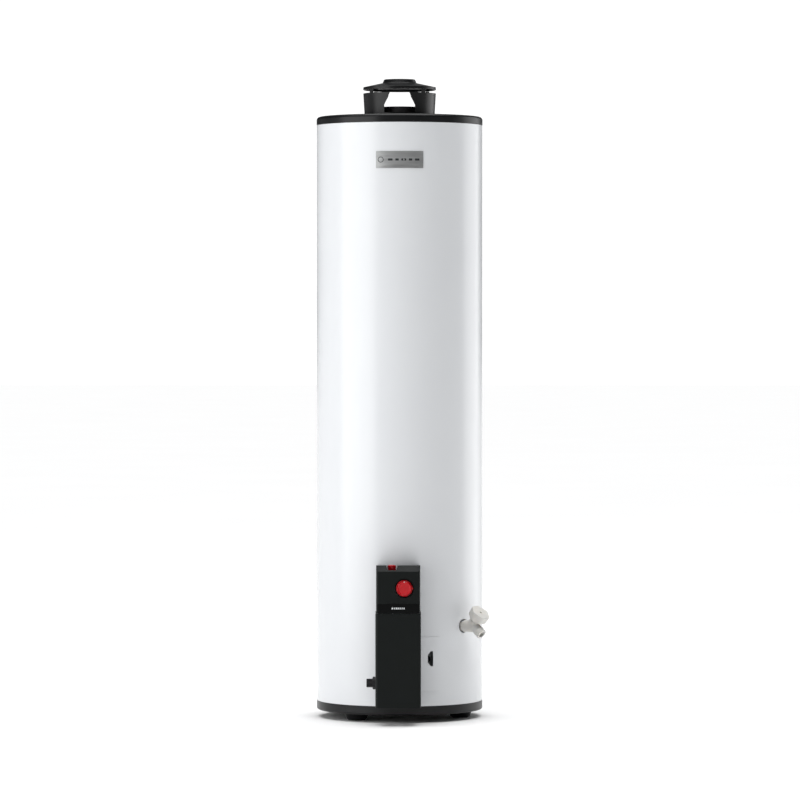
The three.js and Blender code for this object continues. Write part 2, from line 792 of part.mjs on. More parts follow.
// ---------------------------------------------------------------- drain valve
// In its own group the valve leaves the tank along -Y, at the height of its neck.
function drainBody() {
  const neck = rod(14, JACKET_RADIUS + 2, OUTLET_REACH - 2).rotateX(Math.PI / 2);
  const thread = rod(SPUD_BORE - 0.5, 181, JACKET_RADIUS + 4).rotateX(Math.PI / 2);
  const belly = new THREE.SphereGeometry(14.2, 12, 8).translate(0, -OUTLET_REACH + 4, 0);
  const bonnet = tilted(rod(13, -6, BONNET_TOP), BONNET_REACH, BONNET_TILT);
  const outlet = tilted(rod(12.5, 0, 29), OUTLET_REACH, OUTLET_TILT);
  const outletLip = tilted(rod(13.4, 15, 19), OUTLET_REACH, OUTLET_TILT);
  const bore = rod(7, 170, OUTLET_REACH).rotateX(Math.PI / 2);
  const outletBore = tilted(rod(8, -2, 40), OUTLET_REACH, OUTLET_TILT);
  const stemBore = tilted(rod(8.5, -9, 30), BONNET_REACH, BONNET_TILT);
  return cut(join(neck, thread, belly, bonnet, outlet, outletLip), bore, outletBore, stemBore);
}

// Turns a piece made along Z so that it leaves the neck at a reach and a tilt from level.
function tilted(geometry, reach, tilt) {
  return geometry.rotateX((90 - tilt) * DEG).translate(0, -reach, 0);
}

function drainNut() {
  return cut(hexagon(27, BONNET_TOP + GAP, BONNET_TOP + 4.6), rod(5.2, 10, 30));
}

function drainStem() {
  return turned(
    [[0, -6], [7.6, -6], [7.6, 6], [4.8, 8], [4.8, STEM_TOP], [0, STEM_TOP]],
    PIPE_SIDES,
  );
}

function seatWasher() {
  return tube(3, 6.8, -8.6, -6.3);
}

// A six-lobed knob, hollow below, with a hub inside and a screw recess on top.
function handwheel() {
  const outline = [];
  const points = 48;
  for (let i = 0; i < points; i++) {
    const turn = (i / points) * 2 * Math.PI;
    const radius = WHEEL_RADIUS - 1.2 + 1.2 * Math.cos(6 * turn);
    outline.push([radius * Math.cos(turn), radius * Math.sin(turn)]);
  }
  const knob = raised(outline, WHEEL_BASE, WHEEL_TOP);
  const hollow = rod(19.5, WHEEL_BASE - 1, WHEEL_TOP - 3.5);
  const hub = rod(9, WHEEL_BASE - 1, WHEEL_TOP - 3);
  const bore = rod(5, WHEEL_BASE - 8, STEM_TOP + GAP);
  const recess = rod(2.6, WHEEL_TOP - 5, WHEEL_TOP + 1);
  return cut(join(cut(knob, hollow), hub), bore, recess);
}

// ---------------------------------------------------------------- assembly
function spud(length) {
  return tube(SPUD_BORE, SPUD_OUTER, SPUD_TOP - length, SPUD_TOP);
}

function sideSpud(angle, z) {
  return tube(SPUD_BORE, SPUD_OUTER, TANK_RADIUS - 5, JACKET_RADIUS - 4)
    .rotateX(Math.PI / 2)
    .rotateZ(angle * DEG)
    .translate(0, 0, z);
}

const waterHeater = new THREE.Group();
const heater = new THREE.Group();
heater.position.y = AXIS_Y;
waterHeater.add(heater);

place(heater, "outer_jacket", jacket(), whiteEnamel);
place(heater, "top_cap", cap(), blackEnamel);
place(heater, "base_pan", basePan(), blackEnamel);
for (const [name, angle] of Object.entries(FOOT_ANGLES)) {
  const [x, y] = round(angle, FOOT_CIRCLE);
  place(heater, name, foot(), blackEnamel).position.set(x, y, 0);
}
place(heater, "badge_plate", badge(), brushedPlate);
place(heater, "access_door", accessDoor(), whiteEnamel);

place(heater, "draft_hood", hoodBody(), blackEnamel);
place(heater, "draft_hood_lid", hoodLid(), blackEnamel);

place(heater, "tank_shell", tankShell(), glassedSteel);
place(heater, "foam_insulation", insulation(), foam);
place(heater, "flue_tube", flueTube(), rawSteel);
place(heater, "flue_baffle", flueBaffle(), galvanised);
place(heater, "cold_water_spud", spud(58), rawSteel).position.x = WATER_OFFSET;
place(heater, "hot_water_spud", spud(58), rawSteel).position.x = -WATER_OFFSET;
place(heater, "anode_spud", spud(58), rawSteel).position.y = ANODE_OFFSET;
place(heater, "drain_spud", sideSpud(DRAIN_ANGLE, DRAIN_Z), rawSteel);
place(heater, "thermostat_spud", sideSpud(0, DIAL_Z), rawSteel);
place(heater, "dip_tube", dipTube(), ivoryPlastic).position.x = WATER_OFFSET;
place(heater, "anode_rod", anodeRod(), magnesium).position.y = ANODE_OFFSET;

place(heater, "radiation_shield", radiationShield(), galvanised);
place(heater, "burner_head", burnerHead(), rawSteel);
place(heater, "burner_mixer_tube", mixerTube(), galvanised);
place(heater, "inner_door", innerDoor(), galvanised);
place(heater, "pilot_burner", pilotBurner(), galvanised);

place(heater, "gas_valve", gasValve(), castAluminium);
place(heater, "thermostat_probe", frontRod(5, 0, DIAL_Z, 80, 238), copper);
place(heater, "cover_bracket", coverBracket(), galvanised);
place(heater, "dial_backplate", dialBackplate(), blackPlastic);
place(heater, "dial_shaft", frontRod(3.1, DIAL_X, DIAL_Z, 242, 291, 16), brass);
place(heater, "temperature_dial", temperatureDial(), redPlastic);
place(heater, "pilot_button", pilotButton(), redPlastic);
place(heater, "gas_inlet_pipe", gasPipe(), blackPipe);
place(heater, "gas_coupling", gasCoupling(), blackPipe);
place(heater, "gas_nipple", gasNipple(), blackPipe);
place(heater, "burner_supply_tube", burnerSupplyTube(), castAluminium);
place(heater, "pilot_supply_tube", pilotSupplyTube(), copper);
place(heater, "burner_orifice", burnerOrifice(), brass);

place(heater, "upper_cover", upperCover(), blackPlastic);
place(heater, "label_strip", labelStrip(), glossBlack);
place(heater, "lower_cover", lowerCover(), blackPlastic);

const drain = new THREE.Group();
drain.rotation.z = DRAIN_ANGLE * DEG;
drain.position.z = DRAIN_Z;
heater.add(drain);
place(drain, "drain_valve_body", drainBody(), ivoryPlastic);
const bonnet = new THREE.Group();
bonnet.position.y = -BONNET_REACH;
bonnet.rotation.x = (90 - BONNET_TILT) * DEG;
drain.add(bonnet);
place(bonnet, "drain_gland_nut", drainNut(), ivoryPlastic);
place(bonnet, "drain_stem", drainStem(), ivoryPlastic);
place(bonnet, "drain_seat_washer", seatWasher(), rubber);
place(bonnet, "drain_handwheel", handwheel(), ivoryPlastic);

export default waterHeater;
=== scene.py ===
# %% [markdown]
# A gas storage water heater
#
# The real thing is a tall insulated tank in a white enamelled sheet jacket. It stands on three
# pressed feet, wears a black cap and a draft hood on top, and has a gas control behind a black
# plastic cover at the front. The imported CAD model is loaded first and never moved: it says where
# everything is. The pieces that show are then rebuilt with finer edges around it.

import math

import bmesh
import bpy
from mathutils import Matrix, Vector


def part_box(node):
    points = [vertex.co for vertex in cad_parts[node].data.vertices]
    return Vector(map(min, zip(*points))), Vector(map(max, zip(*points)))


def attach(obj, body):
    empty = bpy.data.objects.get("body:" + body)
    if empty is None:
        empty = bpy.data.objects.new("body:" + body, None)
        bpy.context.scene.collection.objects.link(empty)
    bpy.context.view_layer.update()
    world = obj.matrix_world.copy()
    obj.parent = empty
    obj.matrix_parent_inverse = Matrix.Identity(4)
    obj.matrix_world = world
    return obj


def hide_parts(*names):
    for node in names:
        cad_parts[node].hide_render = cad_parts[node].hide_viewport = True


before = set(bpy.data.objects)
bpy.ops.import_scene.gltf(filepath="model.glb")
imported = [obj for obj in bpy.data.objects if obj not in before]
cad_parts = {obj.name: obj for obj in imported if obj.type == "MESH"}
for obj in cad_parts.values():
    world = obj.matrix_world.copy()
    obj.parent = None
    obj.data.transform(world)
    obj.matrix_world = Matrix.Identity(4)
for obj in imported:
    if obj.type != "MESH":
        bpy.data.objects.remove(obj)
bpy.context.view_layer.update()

# %% [markdown]
# Nearly every piece is round about the tank's own axis, so it is easiest to draw each one in
# millimetres about that axis, and to bring it to its place in metres at the very end. The axis
# comes from the flue, which stands on it. Angles go round from the front, and are positive
# towards the right.

# %% The tank's axis, and the matrix from millimetres about it to the model's metres
flue_low, flue_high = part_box("flue_tube")
AXIS = Vector(((flue_low.x + flue_high.x) / 2, (flue_low.y + flue_high.y) / 2, 0))
HEATER = Matrix.Translation(AXIS) @ Matrix.Scale(0.001, 4)
FRONT = Matrix.Rotation(math.radians(90), 4, "X")  # turns a piece made along Z to face the front


def around(angle, radius):
    """The plan position at an angle round from the front."""
    turn = math.radians(angle)
    return radius * math.sin(turn), -radius * math.cos(turn)


print("the axis is %.1f mm behind the origin" % (AXIS.y * 1000))

# %% [markdown]
# A pressed or moulded edge is never sharp, and its small radius is what catches the light. The
# cheapest way to have it is to round the corners of an outline before it is turned or raised.
# Each corner of an outline may give a radius as its third number.


# %% Outlines with rounded corners
def filleted(points, steps=4):
    """The outline with an arc at each corner that has a radius, (x, y, radius)."""
    outline = []
    for i, point in enumerate(points):
        here = Vector(point[:2])
        back = Vector(points[i - 1][:2]) - here
        ahead = Vector(points[(i + 1) % len(points)][:2]) - here
        if len(point) < 3 or back.length < 1e-6 or ahead.length < 1e-6:
            outline.append(tuple(here))
            continue
        half = back.angle(ahead) / 2
        reach = min(point[2] / math.tan(half), 0.49 * back.length, 0.49 * ahead.length)
        radius = reach * math.tan(half)
        centre = here + (back.normalized() + ahead.normalized()).normalized() * (
            radius / math.sin(half)
        )
        first = here + back.normalized() * reach - centre
        last = here + ahead.normalized() * reach - centre
        for step in range(steps + 1):
            way = first.lerp(last, step / steps).normalized()
            outline.append(tuple(centre + way * radius))
    return outline


def rectangle(half_x, half_y, corner, steps=3):
    corners = [(-half_x, -half_y), (half_x, -half_y), (half_x, half_y), (-half_x, half_y)]
    return filleted([(x, y, corner) for x, y in corners], steps)


print("a rounded square has", len(rectangle(9, 9, 1)), "points")

# %% [markdown]
# Two mesh makers do most of the work. One turns a profile about Z, as a spinning lathe or a
# press tool does. The other raises a flat outline, as for a moulding. Both merge double points
# and then turn the faces outwards, so that each piece is a closed solid.


# %% Turned and raised solids
def solid(name, verts, faces):
    """A closed mesh object whose faces point outwards."""
    mesh = bpy.data.meshes.new(name)
    mesh.from_pydata([tuple(v) for v in verts], [], faces)
    work = bmesh.new()
    work.from_mesh(mesh)
    bmesh.ops.remove_doubles(work, verts=work.verts, dist=1e-4)
    bmesh.ops.dissolve_degenerate(work, edges=work.edges, dist=1e-5)
    bmesh.ops.recalc_face_normals(work, faces=work.faces)
    work.to_mesh(mesh)
    work.free()
    obj = bpy.data.objects.new(name, mesh)
    bpy.context.scene.collection.objects.link(obj)
    return obj


def turned(name, profile, steps=96, where=None):
    """Turns a profile of (radius, height) about Z: a ring, or a solid that starts on the axis."""
    count = len(profile)
    links = count if profile[0][0] > 0 else count - 1
    verts, faces = [], []
    for step in range(steps):
        turn = 2 * math.pi * step / steps
        verts += [(r * math.cos(turn), r * math.sin(turn), z) for r, z in profile]
        here, there = step * count, (step + 1) % steps * count
        for i in range(links):
            j = (i + 1) % count
            faces.append((here + i, there + i, there + j, here + j))
    made = solid(name, verts, faces)
    if where:
        made.data.transform(where)
    return made


def raised(name, outline, low, high, where=None):
    """Raises an outline in the XY plane from low to high."""
    count = len(outline)
    verts = [(x, y, z) for z in (low, high) for x, y in outline]
    faces = [tuple(range(count)), tuple(range(count, 2 * count))]
    faces += [(i, (i + 1) % count, (i + 1) % count + count, i + count) for i in range(count)]
    made = solid(name, verts, faces)
    if where:
        made.data.transform(where)
    return made


def rod(radius, low, high, where=None, steps=48):
    return turned("rod", [(0, low), (radius, low), (radius, high), (0, high)], steps, where)


def slab(x, y, z):
    """A plain box between limits, used as a cutting tool."""
    return raised("slab", [(x[0], y[0]), (x[1], y[0]), (x[1], y[1]), (x[0], y[1])], *z)


# %% [markdown]
# Holes and slots are cut with the Boolean modifier, because it keeps the rest of the shape
# exact. The Bevel modifier then breaks the edges that are still sharp. Both are applied at once:
# the finished mesh is taken from the evaluated object, and no modifier is left behind.


# %% Cutting, joining and breaking edges
def applied(obj):
    """The object with its modifiers made part of its mesh."""
    bpy.context.view_layer.update()
    graph = bpy.context.evaluated_depsgraph_get()
    made = bpy.data.meshes.new_from_object(obj.evaluated_get(graph))
    obj.modifiers.clear()
    obj.data = made
    return obj


def combined(obj, operation, tools):
    for tool in tools:
        modifier = obj.modifiers.new("combine", "BOOLEAN")
        modifier.operation = operation
        modifier.solver = "EXACT"
        modifier.object = tool
    applied(obj)
    for tool in tools:
        bpy.data.objects.remove(tool)
    return obj


def carved(obj, *tools):
    return combined(obj, "DIFFERENCE", tools)


def joined(obj, *others):
    return combined(obj, "UNION", others)


def softened(obj, width, steps=2, angle=35):
    """Breaks the edges sharper than an angle."""
    modifier = obj.modifiers.new("edges", "BEVEL")
    modifier.width = width
    modifier.segments = steps
    modifier.limit_method = "ANGLE"
    modifier.angle_limit = math.radians(angle)
    return applied(obj)


# %% [markdown]
# Materials are built from nodes. One small function adds a node with its settings and its links,
# and another turns an sRGB hex colour, as a colour chart gives it, to the linear numbers that a
# shader works in.


# %% Adding nodes and colours
def linear(shade):
    """An sRGB hex colour as linear RGBA."""
    parts = [int(shade[i : i + 2], 16) / 255 for i in (0, 2, 4)]
    return [c / 12.92 if c <= 0.04045 else ((c + 0.055) / 1.055) ** 2.4 for c in parts] + [1.0]


def add(tree, kind, inputs=None, **settings):
    """Adds a node. An input is given a value, or the output socket that feeds it."""
    node = tree.nodes.new(kind)
    for name, value in settings.items():
        setattr(node, name, value)
    for name, value in (inputs or {}).items():
        socket = node.inputs[name]
        if isinstance(value, bpy.types.NodeSocket):
            tree.links.new(value, socket)
        else:
            socket.default_value = value
    return node


print("mid grey 808080 is", round(linear("808080")[0], 3), "in linear light")

# %% [markdown]
# Most surfaces of a heater share one build-up: the colour drifts a little over a hand's width,
# the gloss drifts with it, and a fine grain shows in the highlights. Only the numbers differ, so
# one recipe takes them. Sizes are in millimetres, and the stretch draws the pattern out along an
# axis for brushed or drawn metal. Values that are the same all over go straight to the shader.


# %% The recipe for a finish
def finish(name, dark, light, drift, rough, grain, stretch=(1, 1, 1), values=None):
    """drift is a size; rough is (least, most); grain is (size, depth)."""
    material = bpy.data.materials.new(name)
    material.use_nodes = True
    tree = material.node_tree
    tree.nodes.clear()
    spot = add(tree, "ShaderNodeTexCoord").outputs["Object"]
    drawn = add(tree, "ShaderNodeMapping", {"Vector": spot, "Scale": stretch}).outputs["Vector"]
    sizes = {"Vector": drawn, "Scale": 1000 / drift, "Detail": 3.0}
    cloud = add(tree, "ShaderNodeTexNoise", sizes).outputs["Fac"]
    shades = {0: cloud, 6: linear(dark), 7: linear(light)}
    colour = add(tree, "ShaderNodeMix", shades, data_type="RGBA").outputs[2]
    span = {"Value": cloud, 1: 0.3, 2: 0.7, 3: rough[0], 4: rough[1]}
    gloss = add(tree, "ShaderNodeMapRange", span).outputs["Result"]
    sizes = {"Vector": drawn, "Scale": 1000 / grain[0], "Detail": 2.0}
    height = add(tree, "ShaderNodeTexNoise", sizes).outputs["Fac"]
    relief = {"Height": height, "Distance": grain[1] / 1000, "Strength": 1.0}
    bump = add(tree, "ShaderNodeBump", relief).outputs["Normal"]
    inputs = {"Base Color": colour, "Roughness": gloss, "Normal": bump, **(values or {})}
    shader = add(tree, "ShaderNodeBsdfPrincipled", inputs).outputs["BSDF"]
    add(tree, "ShaderNodeOutputMaterial", {"Surface": shader})
    return material


METAL = {"Metallic": 1.0}

# %% [markdown]
# The jacket and its door are white appliance enamel, sprayed on steel sheet and baked. It is
# glossy, and it dries with a faint orange peel of about 2 mm that softens reflections. The cap,
# the hood and the pan are satin black enamel. Even a black paint reflects a little light, so its
# colour is a very dark grey.

# %% Enamels
white_enamel = finish(
    "white_baked_enamel", "d8dadd", "dee0e2", 260, (0.21, 0.26), (2.2, 0.003), values={"IOR": 1.5}
)
DIM = {"IOR": 1.5, "Specular IOR Level": 0.25}
black_enamel = finish(
    "black_baked_enamel", "0e0f10", "141516", 60, (0.28, 0.36), (0.9, 0.006), values=DIM
)
print(white_enamel.name, black_enamel.name)

# %% [markdown]
# The plastics are ABS for the covers, the dial and the button, and nylon for the drain valve.
# The covers come out of a tool with a fine spark-eroded grain, drawn here at 0.8 mm, coarser
# than the real 0.3 mm, so that it shows. The dial and the button come from a polished tool and
# are as glossy as a sweet. The grain on the covers traps part of the reflection, so their
# specular level is low. Nylon is waxy: a soft, wide highlight, and a little light under the
# surface.

# %% Plastics and rubber
PLASTIC = {"IOR": 1.53}
COVER, STRIP, RED = [PLASTIC | {"Specular IOR Level": level} for level in (0.15, 0.06, 0.26)]
WAXY = PLASTIC | {"Subsurface Weight": 0.12, "Subsurface Scale": 0.5}
WAXY["Subsurface Radius"] = (0.004, 0.003, 0.002)
black_abs = finish(
    "grained_black_abs", "070b0a", "0c1110", 40, (0.36, 0.44), (0.8, 0.02), values=COVER
)
gloss_abs = finish(
    "polished_black_abs", "040505", "070808", 30, (0.09, 0.13), (3.0, 0.002), values=STRIP
)
red_abs = finish(
    "polished_red_abs", "ab0813", "b90e1a", 25, (0.07, 0.1), (2.5, 0.001), values=RED
)
ivory_nylon = finish(
    "moulded_ivory_nylon", "cccac5", "d7d5d0", 18, (0.42, 0.5), (0.7, 0.012), values=WAXY
)
rubber = finish("black_nitrile_rubber", "151515", "1e1e1e", 12, (0.7, 0.8), (0.5, 0.02))
white_ink = finish("white_printing_ink", "c9cdcf", "dfe2e3", 6, (0.4, 0.5), (0.4, 0.004))
dark_ink = finish("dark_printing_ink", "202224", "2b2d2f", 6, (0.4, 0.5), (0.4, 0.004))
print(len(bpy.data.materials), "materials so far")

# %% [markdown]
# The metals keep the default IOR, and their colour is in the base colour. Brushed aluminium has
# long fine scratches along the plate, so its pattern is stretched twenty-five times along X.
# Galvanised sheet shows zinc spangle of some 12 mm, cast aluminium a sandy skin, and the flue,
# which has been hot, a dark scale.

# %% Metals
brushed_aluminium = finish(
    "brushed_aluminium", "8f9090", "bdbebe", 5, (0.34, 0.46), (1.1, 0.03), (0.04, 1, 1), METAL
)
galvanised = finish(
    "galvanised_sheet", "8e9396", "b4b8ba", 12, (0.38, 0.55), (2, 0.01), values=METAL
)
cast_aluminium = finish(
    "cast_aluminium", "8f9295", "a6a9ab", 14, (0.5, 0.62), (0.7, 0.05), values=METAL
)
mill_steel = finish("mill_steel", "5f6163", "7d7f81", 20, (0.4, 0.55), (0.8, 0.02), values=METAL)
SCALE = {"Metallic": 0.6}  # the oxide hides part of the metal
scaled_steel = finish(
    "heat_darkened_steel", "38383a", "4c4a4a", 16, (0.45, 0.6), (1.0, 0.04), values=SCALE
)
glassed_steel = finish("glass_lined_steel", "33414f", "42505f", 50, (0.3, 0.4), (1.5, 0.02))
black_pipe = finish(
    "black_iron_pipe", "131415", "1f2022", 10, (0.4, 0.55), (0.9, 0.04), values={"Metallic": 0.35}
)
drawn_copper = finish(
    "drawn_copper", "a3613f", "bd7650", 12, (0.28, 0.4), (0.9, 0.01), (1, 1, 0.1), METAL
)
turned_brass = finish(
    "turned_brass", "a88340", "c19a52", 10, (0.24, 0.34), (0.6, 0.01), values=METAL
)
magnesium = finish(
    "dull_magnesium", "7d8083", "989b9d", 14, (0.55, 0.68), (0.8, 0.03), values=METAL
)
rigid_foam = finish("rigid_foam", "cbb57a", "e2cf98", 8, (0.88, 0.95), (2.5, 0.4))
print(len(bpy.data.materials), "materials")

# %% [markdown]
# A finished piece needs the same few steps each time: bring it to its place, smooth it but keep
# its real edges sharp and its flat faces flat, give it its material, hang it on the empty of the
# body that carries it, and hide the CAD nodes it stands for. One function does them all, and
# prints the size of the mesh and whether it is closed.


# %% Finishing a piece
def piece(obj, name, material, body, slot, *nodes, place=HEATER, sharp=34):
    obj.name = obj.data.name = name
    obj.data.transform(place)
    obj.data.shade_smooth()
    obj.data.set_sharp_from_angle(angle=math.radians(sharp))
    normals = obj.modifiers.new("normals", "WEIGHTED_NORMAL")
    normals.keep_sharp = True
    applied(obj)
    obj.data.name = name
    obj.data.materials.clear()
    obj.data.materials.append(material)
    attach(obj, body)
    if nodes:
        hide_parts(*nodes)
    work = bmesh.new()
    work.from_mesh(obj.data)
    loose = sum(not edge.is_manifold for edge in work.edges)
    volume = work.calc_volume(signed=True) * 1e6
    work.free()
    triangles = len(obj.data.loop_triangles)
    print(f"{name}: {triangles} triangles, {loose} open edges, {volume:.1f} cm3")
    return obj


# %% [markdown]
# The jacket is one steel sheet, rolled into a tube and locked along a folded seam at the back.
# It could be a plain cylinder, but the seam, the doorway to the burner and the two round holes
# are what make it real. It is laid out as a grid of points whose radius rises over the seam, and
# the openings are then cut. The many narrow columns keep the white curve smooth around them.

# %% The jacket
JACKET = 200
SHEET = 1.5
jacket_low, jacket_high = (corner.z * 1000 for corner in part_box("outer_jacket"))
SEAM = [(177.6, 0), (178.0, 1.1), (181.7, 1.1), (181.9, 0.5), (182.3, 0.5), (182.5, 0)]


def seam_rise(angle):
    """How far the folded seam stands out at an angle round from the front."""
    for (a, low), (b, high) in zip(SEAM, SEAM[1:]):
        if a <= angle <= b:
            return low + (high - low) * (angle - a) / (b - a)
    return 0


ROWS = 12
columns = sorted(set(range(0, 360, 2)) | {angle for angle, _ in SEAM})
rows = [jacket_low + (jacket_high - jacket_low) * i / ROWS for i in range(ROWS + 1)]
wide, tall = len(columns), len(rows)
sheet_points, sheet_faces = [], []
for inset in (0, SHEET):
    for z in rows:
        sheet_points += [(*around(a, JACKET + seam_rise(a) - inset), z) for a in columns]
for side in range(2):
    for row in range(tall - 1):
        for i in range(wide):
            a = (side * tall + row) * wide
            j = (i + 1) % wide
            sheet_faces.append((a + i, a + j, a + wide + j, a + wide + i))
for row in (0, tall - 1):
    for i in range(wide):
        a, b, j = row * wide, (tall + row) * wide, (i + 1) % wide
        sheet_faces.append((a + i, a + j, b + j, b + i))
jacket = solid("jacket", sheet_points, sheet_faces)

# %% [markdown]
# The doorway and the gap for the burner tubes are sectors of the plan. The holes for the drain
# valve and for the control's shank are round, and leave along the valve's and the control's own
# directions.

# %% Openings in the jacket
DOOR_LEFT, DOOR_RIGHT, DOOR_LOW, DOOR_HIGH = 4, 28.8, 76, 205
DRAIN_ANGLE, DRAIN_Z = 50, 227
DIAL_X, DIAL_Z = 11, 326.5
DRAIN_HOLE, CONTROL_HOLE = 16.7, 20  # radii
INSIDE, OUTSIDE = 150, 240  # a cut through the jacket runs from one radius to the other


def sector(left, right, reach, low, high):
    outline = [(0, 0)] + [around(left + (right - left) * i / 12, reach) for i in range(13)]
    return raised("sector", outline, low, high)


def level(angle, z):
    """The matrix that lays a rod made along Z level, out of the tank at an angle."""
    return Matrix.Translation((0, 0, z)) @ Matrix.Rotation(math.radians(angle), 4, "Z") @ FRONT


carved(
    jacket,
    sector(-12, DOOR_RIGHT - 3, OUTSIDE, DOOR_LOW + 8, DOOR_HIGH - 8),
    sector(-10, 3, OUTSIDE, DOOR_LOW - 10, DOOR_LOW + 60),
    rod(DRAIN_HOLE, INSIDE, OUTSIDE, level(DRAIN_ANGLE, DRAIN_Z)),
    rod(CONTROL_HOLE, INSIDE, OUTSIDE, level(0, DIAL_Z)),
)
piece(jacket, "jacket", white_enamel, "heater", "white_enamel", "outer_jacket")

# %% [markdown]
# The lighting door is a curved plate that slides round the jacket, with a half-hexagon slot for
# a fingertip. Its edges are folded, so they are given a radius. The slot's straight side is on
# the right.

# %% The lighting door
DOOR_INSIDE = JACKET + 0.3
DOOR_OUTSIDE = DOOR_INSIDE + 1.2
SLOT_ANGLE, SLOT_Z = 21.4, 153
plate = turned(
    "door",
    filleted(
        [
            (DOOR_OUTSIDE, DOOR_LOW, 0.6),
            (DOOR_OUTSIDE, DOOR_HIGH, 0.6),
            (DOOR_INSIDE, DOOR_HIGH),
            (DOOR_INSIDE, DOOR_LOW),
        ]
    ),
    720,
)
combined(plate, "INTERSECT", [sector(DOOR_LEFT, DOOR_RIGHT, OUTSIDE, 60, 240)])
half_hexagon = [(6.8, -18), (6.8, 18), (0.9, 18), (-6.8, 9.4), (-6.8, -9.4), (0.9, -18)]
slot_outline = filleted([(x, y, 0.8) for x, y in half_hexagon])
carved(plate, raised("slot", slot_outline, INSIDE, OUTSIDE, level(SLOT_ANGLE, SLOT_Z)))
piece(plate, "lighting_door", white_enamel, "door", "white_enamel", "access_door")

# %% [markdown]
# The cap is a deep-drawn pan turned upside down over the jacket, with a generous shoulder and a
# low stamped step that stiffens its top. Two holes let the water spuds through and one the anode
# rod. The base pan is its plainer twin at the bottom, with a wide hole for the burner's air.

# %% Cap and base pan
RIM = 200.4
CAP_LOW, CAP_TOP = 1428.3, 1449
WATER_OFFSET, ANODE_OFFSET = 120, 112
cap_profile = [
    (RIM, CAP_LOW, 0.5),
    (RIM, CAP_TOP - 1, 7.5),
    (184, CAP_TOP - 1, 2),
    (181, CAP_TOP - 2.2, 2),
    (97, CAP_TOP - 2.2, 2),
    (94, CAP_TOP, 2),
    (53, CAP_TOP),
    (53, CAP_TOP - 2.5),
    (88, CAP_TOP - 2.5, 1),
    (91, CAP_TOP - 3.8, 1),
    (190, CAP_TOP - 3.8, 3),
    (195.8, CAP_TOP - 9, 3),
    (195.8, 1416),
    (197.8, 1416),
    (197.8, CAP_LOW),
]
cap = turned("cap", filleted(cap_profile, 6), 180)
SPUD_HOLE = 17.3
SPUDS = {
    "cold_water_spud": Matrix.Translation((WATER_OFFSET, 0, 0)),
    "hot_water_spud": Matrix.Translation((-WATER_OFFSET, 0, 0)),
    "anode_spud": Matrix.Translation((0, ANODE_OFFSET, 0)),
}
carved(cap, *[rod(SPUD_HOLE, 1400, 1500, spot) for spot in SPUDS.values()])
piece(cap, "cap", black_enamel, "heater", "black_enamel", "top_cap")
pan_profile = [
    (60, 18),
    (RIM, 18, 5),
    (RIM, 40, 0.5),
    (197.8, 40),
    (197.8, 52),
    (195.8, 52),
    (195.8, 22, 3),
    (190, 20, 2),
    (60, 20),
]
pan = turned("pan", filleted(pan_profile, 6), 180)
piece(pan, "base_pan_skirt", black_enamel, "heater", "black_enamel", "base_pan")

# %% [markdown]
# The three feet are the same pressed cup, spaced evenly on a circle. That is a rule, so Geometry
# Nodes can lay them out: a circle of points, the cup on each, realised as plain mesh with its
# material. The same small tree serves for anything that stands in a ring.


# %% A tree that sets copies in a ring
def node_input(tree, name, kind, value=None):
    socket = tree.interface.new_socket(name=name, in_out="INPUT", socket_type=kind)
    if value is not None:
        socket.default_value = value
    return socket.identifier


def ring_tree():
    tree = bpy.data.node_groups.new("ring_of_copies", "GeometryNodeTree")
    names = {
        "part": node_input(tree, "Part", "NodeSocketObject"),
        "count": node_input(tree, "Count", "NodeSocketInt", 3),
        "radius": node_input(tree, "Radius", "NodeSocketFloat", 100.0),
        "start": node_input(tree, "Start", "NodeSocketFloat", 0.0),
        "material": node_input(tree, "Material", "NodeSocketMaterial"),
    }
    tree.interface.new_socket(name="Mesh", in_out="OUTPUT", socket_type="NodeSocketGeometry")
    given = add(tree, "NodeGroupInput").outputs
    part = add(tree, "GeometryNodeObjectInfo", {"Object": given["Part"]}).outputs["Geometry"]
    circle = add(
        tree, "GeometryNodeMeshCircle", {"Vertices": given["Count"], "Radius": given["Radius"]}
    ).outputs["Mesh"]
    index = add(tree, "GeometryNodeInputIndex").outputs["Index"]
    share = add(tree, "ShaderNodeMath", {0: index, 1: given["Count"]}, operation="DIVIDE")
    turn = add(tree, "ShaderNodeMath", {0: share.outputs[0], 1: math.tau}, operation="MULTIPLY")
    facing = add(tree, "ShaderNodeCombineXYZ", {"Z": turn.outputs[0]}).outputs["Vector"]
    copies = add(
        tree,
        "GeometryNodeInstanceOnPoints",
        {"Points": circle, "Instance": part, "Rotation": facing},
    ).outputs["Instances"]
    whole = add(tree, "ShaderNodeCombineXYZ", {"Z": given["Start"]}).outputs["Vector"]
    placed = add(tree, "GeometryNodeTransform", {"Geometry": copies, "Rotation": whole})
    real = add(tree, "GeometryNodeRealizeInstances", {0: placed.outputs[0]}).outputs[0]
    inked = add(
        tree, "GeometryNodeSetMaterial", {"Geometry": real, "Material": given["Material"]}
    ).outputs[0]
    add(tree, "NodeGroupOutput", {0: inked})
    return tree, names


RING, RING_INPUTS = ring_tree()
print("ring inputs:", RING_INPUTS)


# %% [markdown]
# A modifier's inputs are set before the object is first evaluated. The result is taken as a
# plain mesh, and the modifier and the pattern part are both thrown away.


# %% Running a tree
def grown(tree, names, part, material, **sizes):
    """The plain mesh that a tree makes from a part."""
    host = bpy.data.objects.new("host", bpy.data.meshes.new("host"))
    bpy.context.scene.collection.objects.link(host)
    modifier = host.modifiers.new("grow", "NODES")
    modifier.node_group = tree
    for name, value in {"part": part, "material": material, **sizes}.items():
        modifier[names[name]] = value
    applied(host)
    bpy.data.objects.remove(part)
    return host


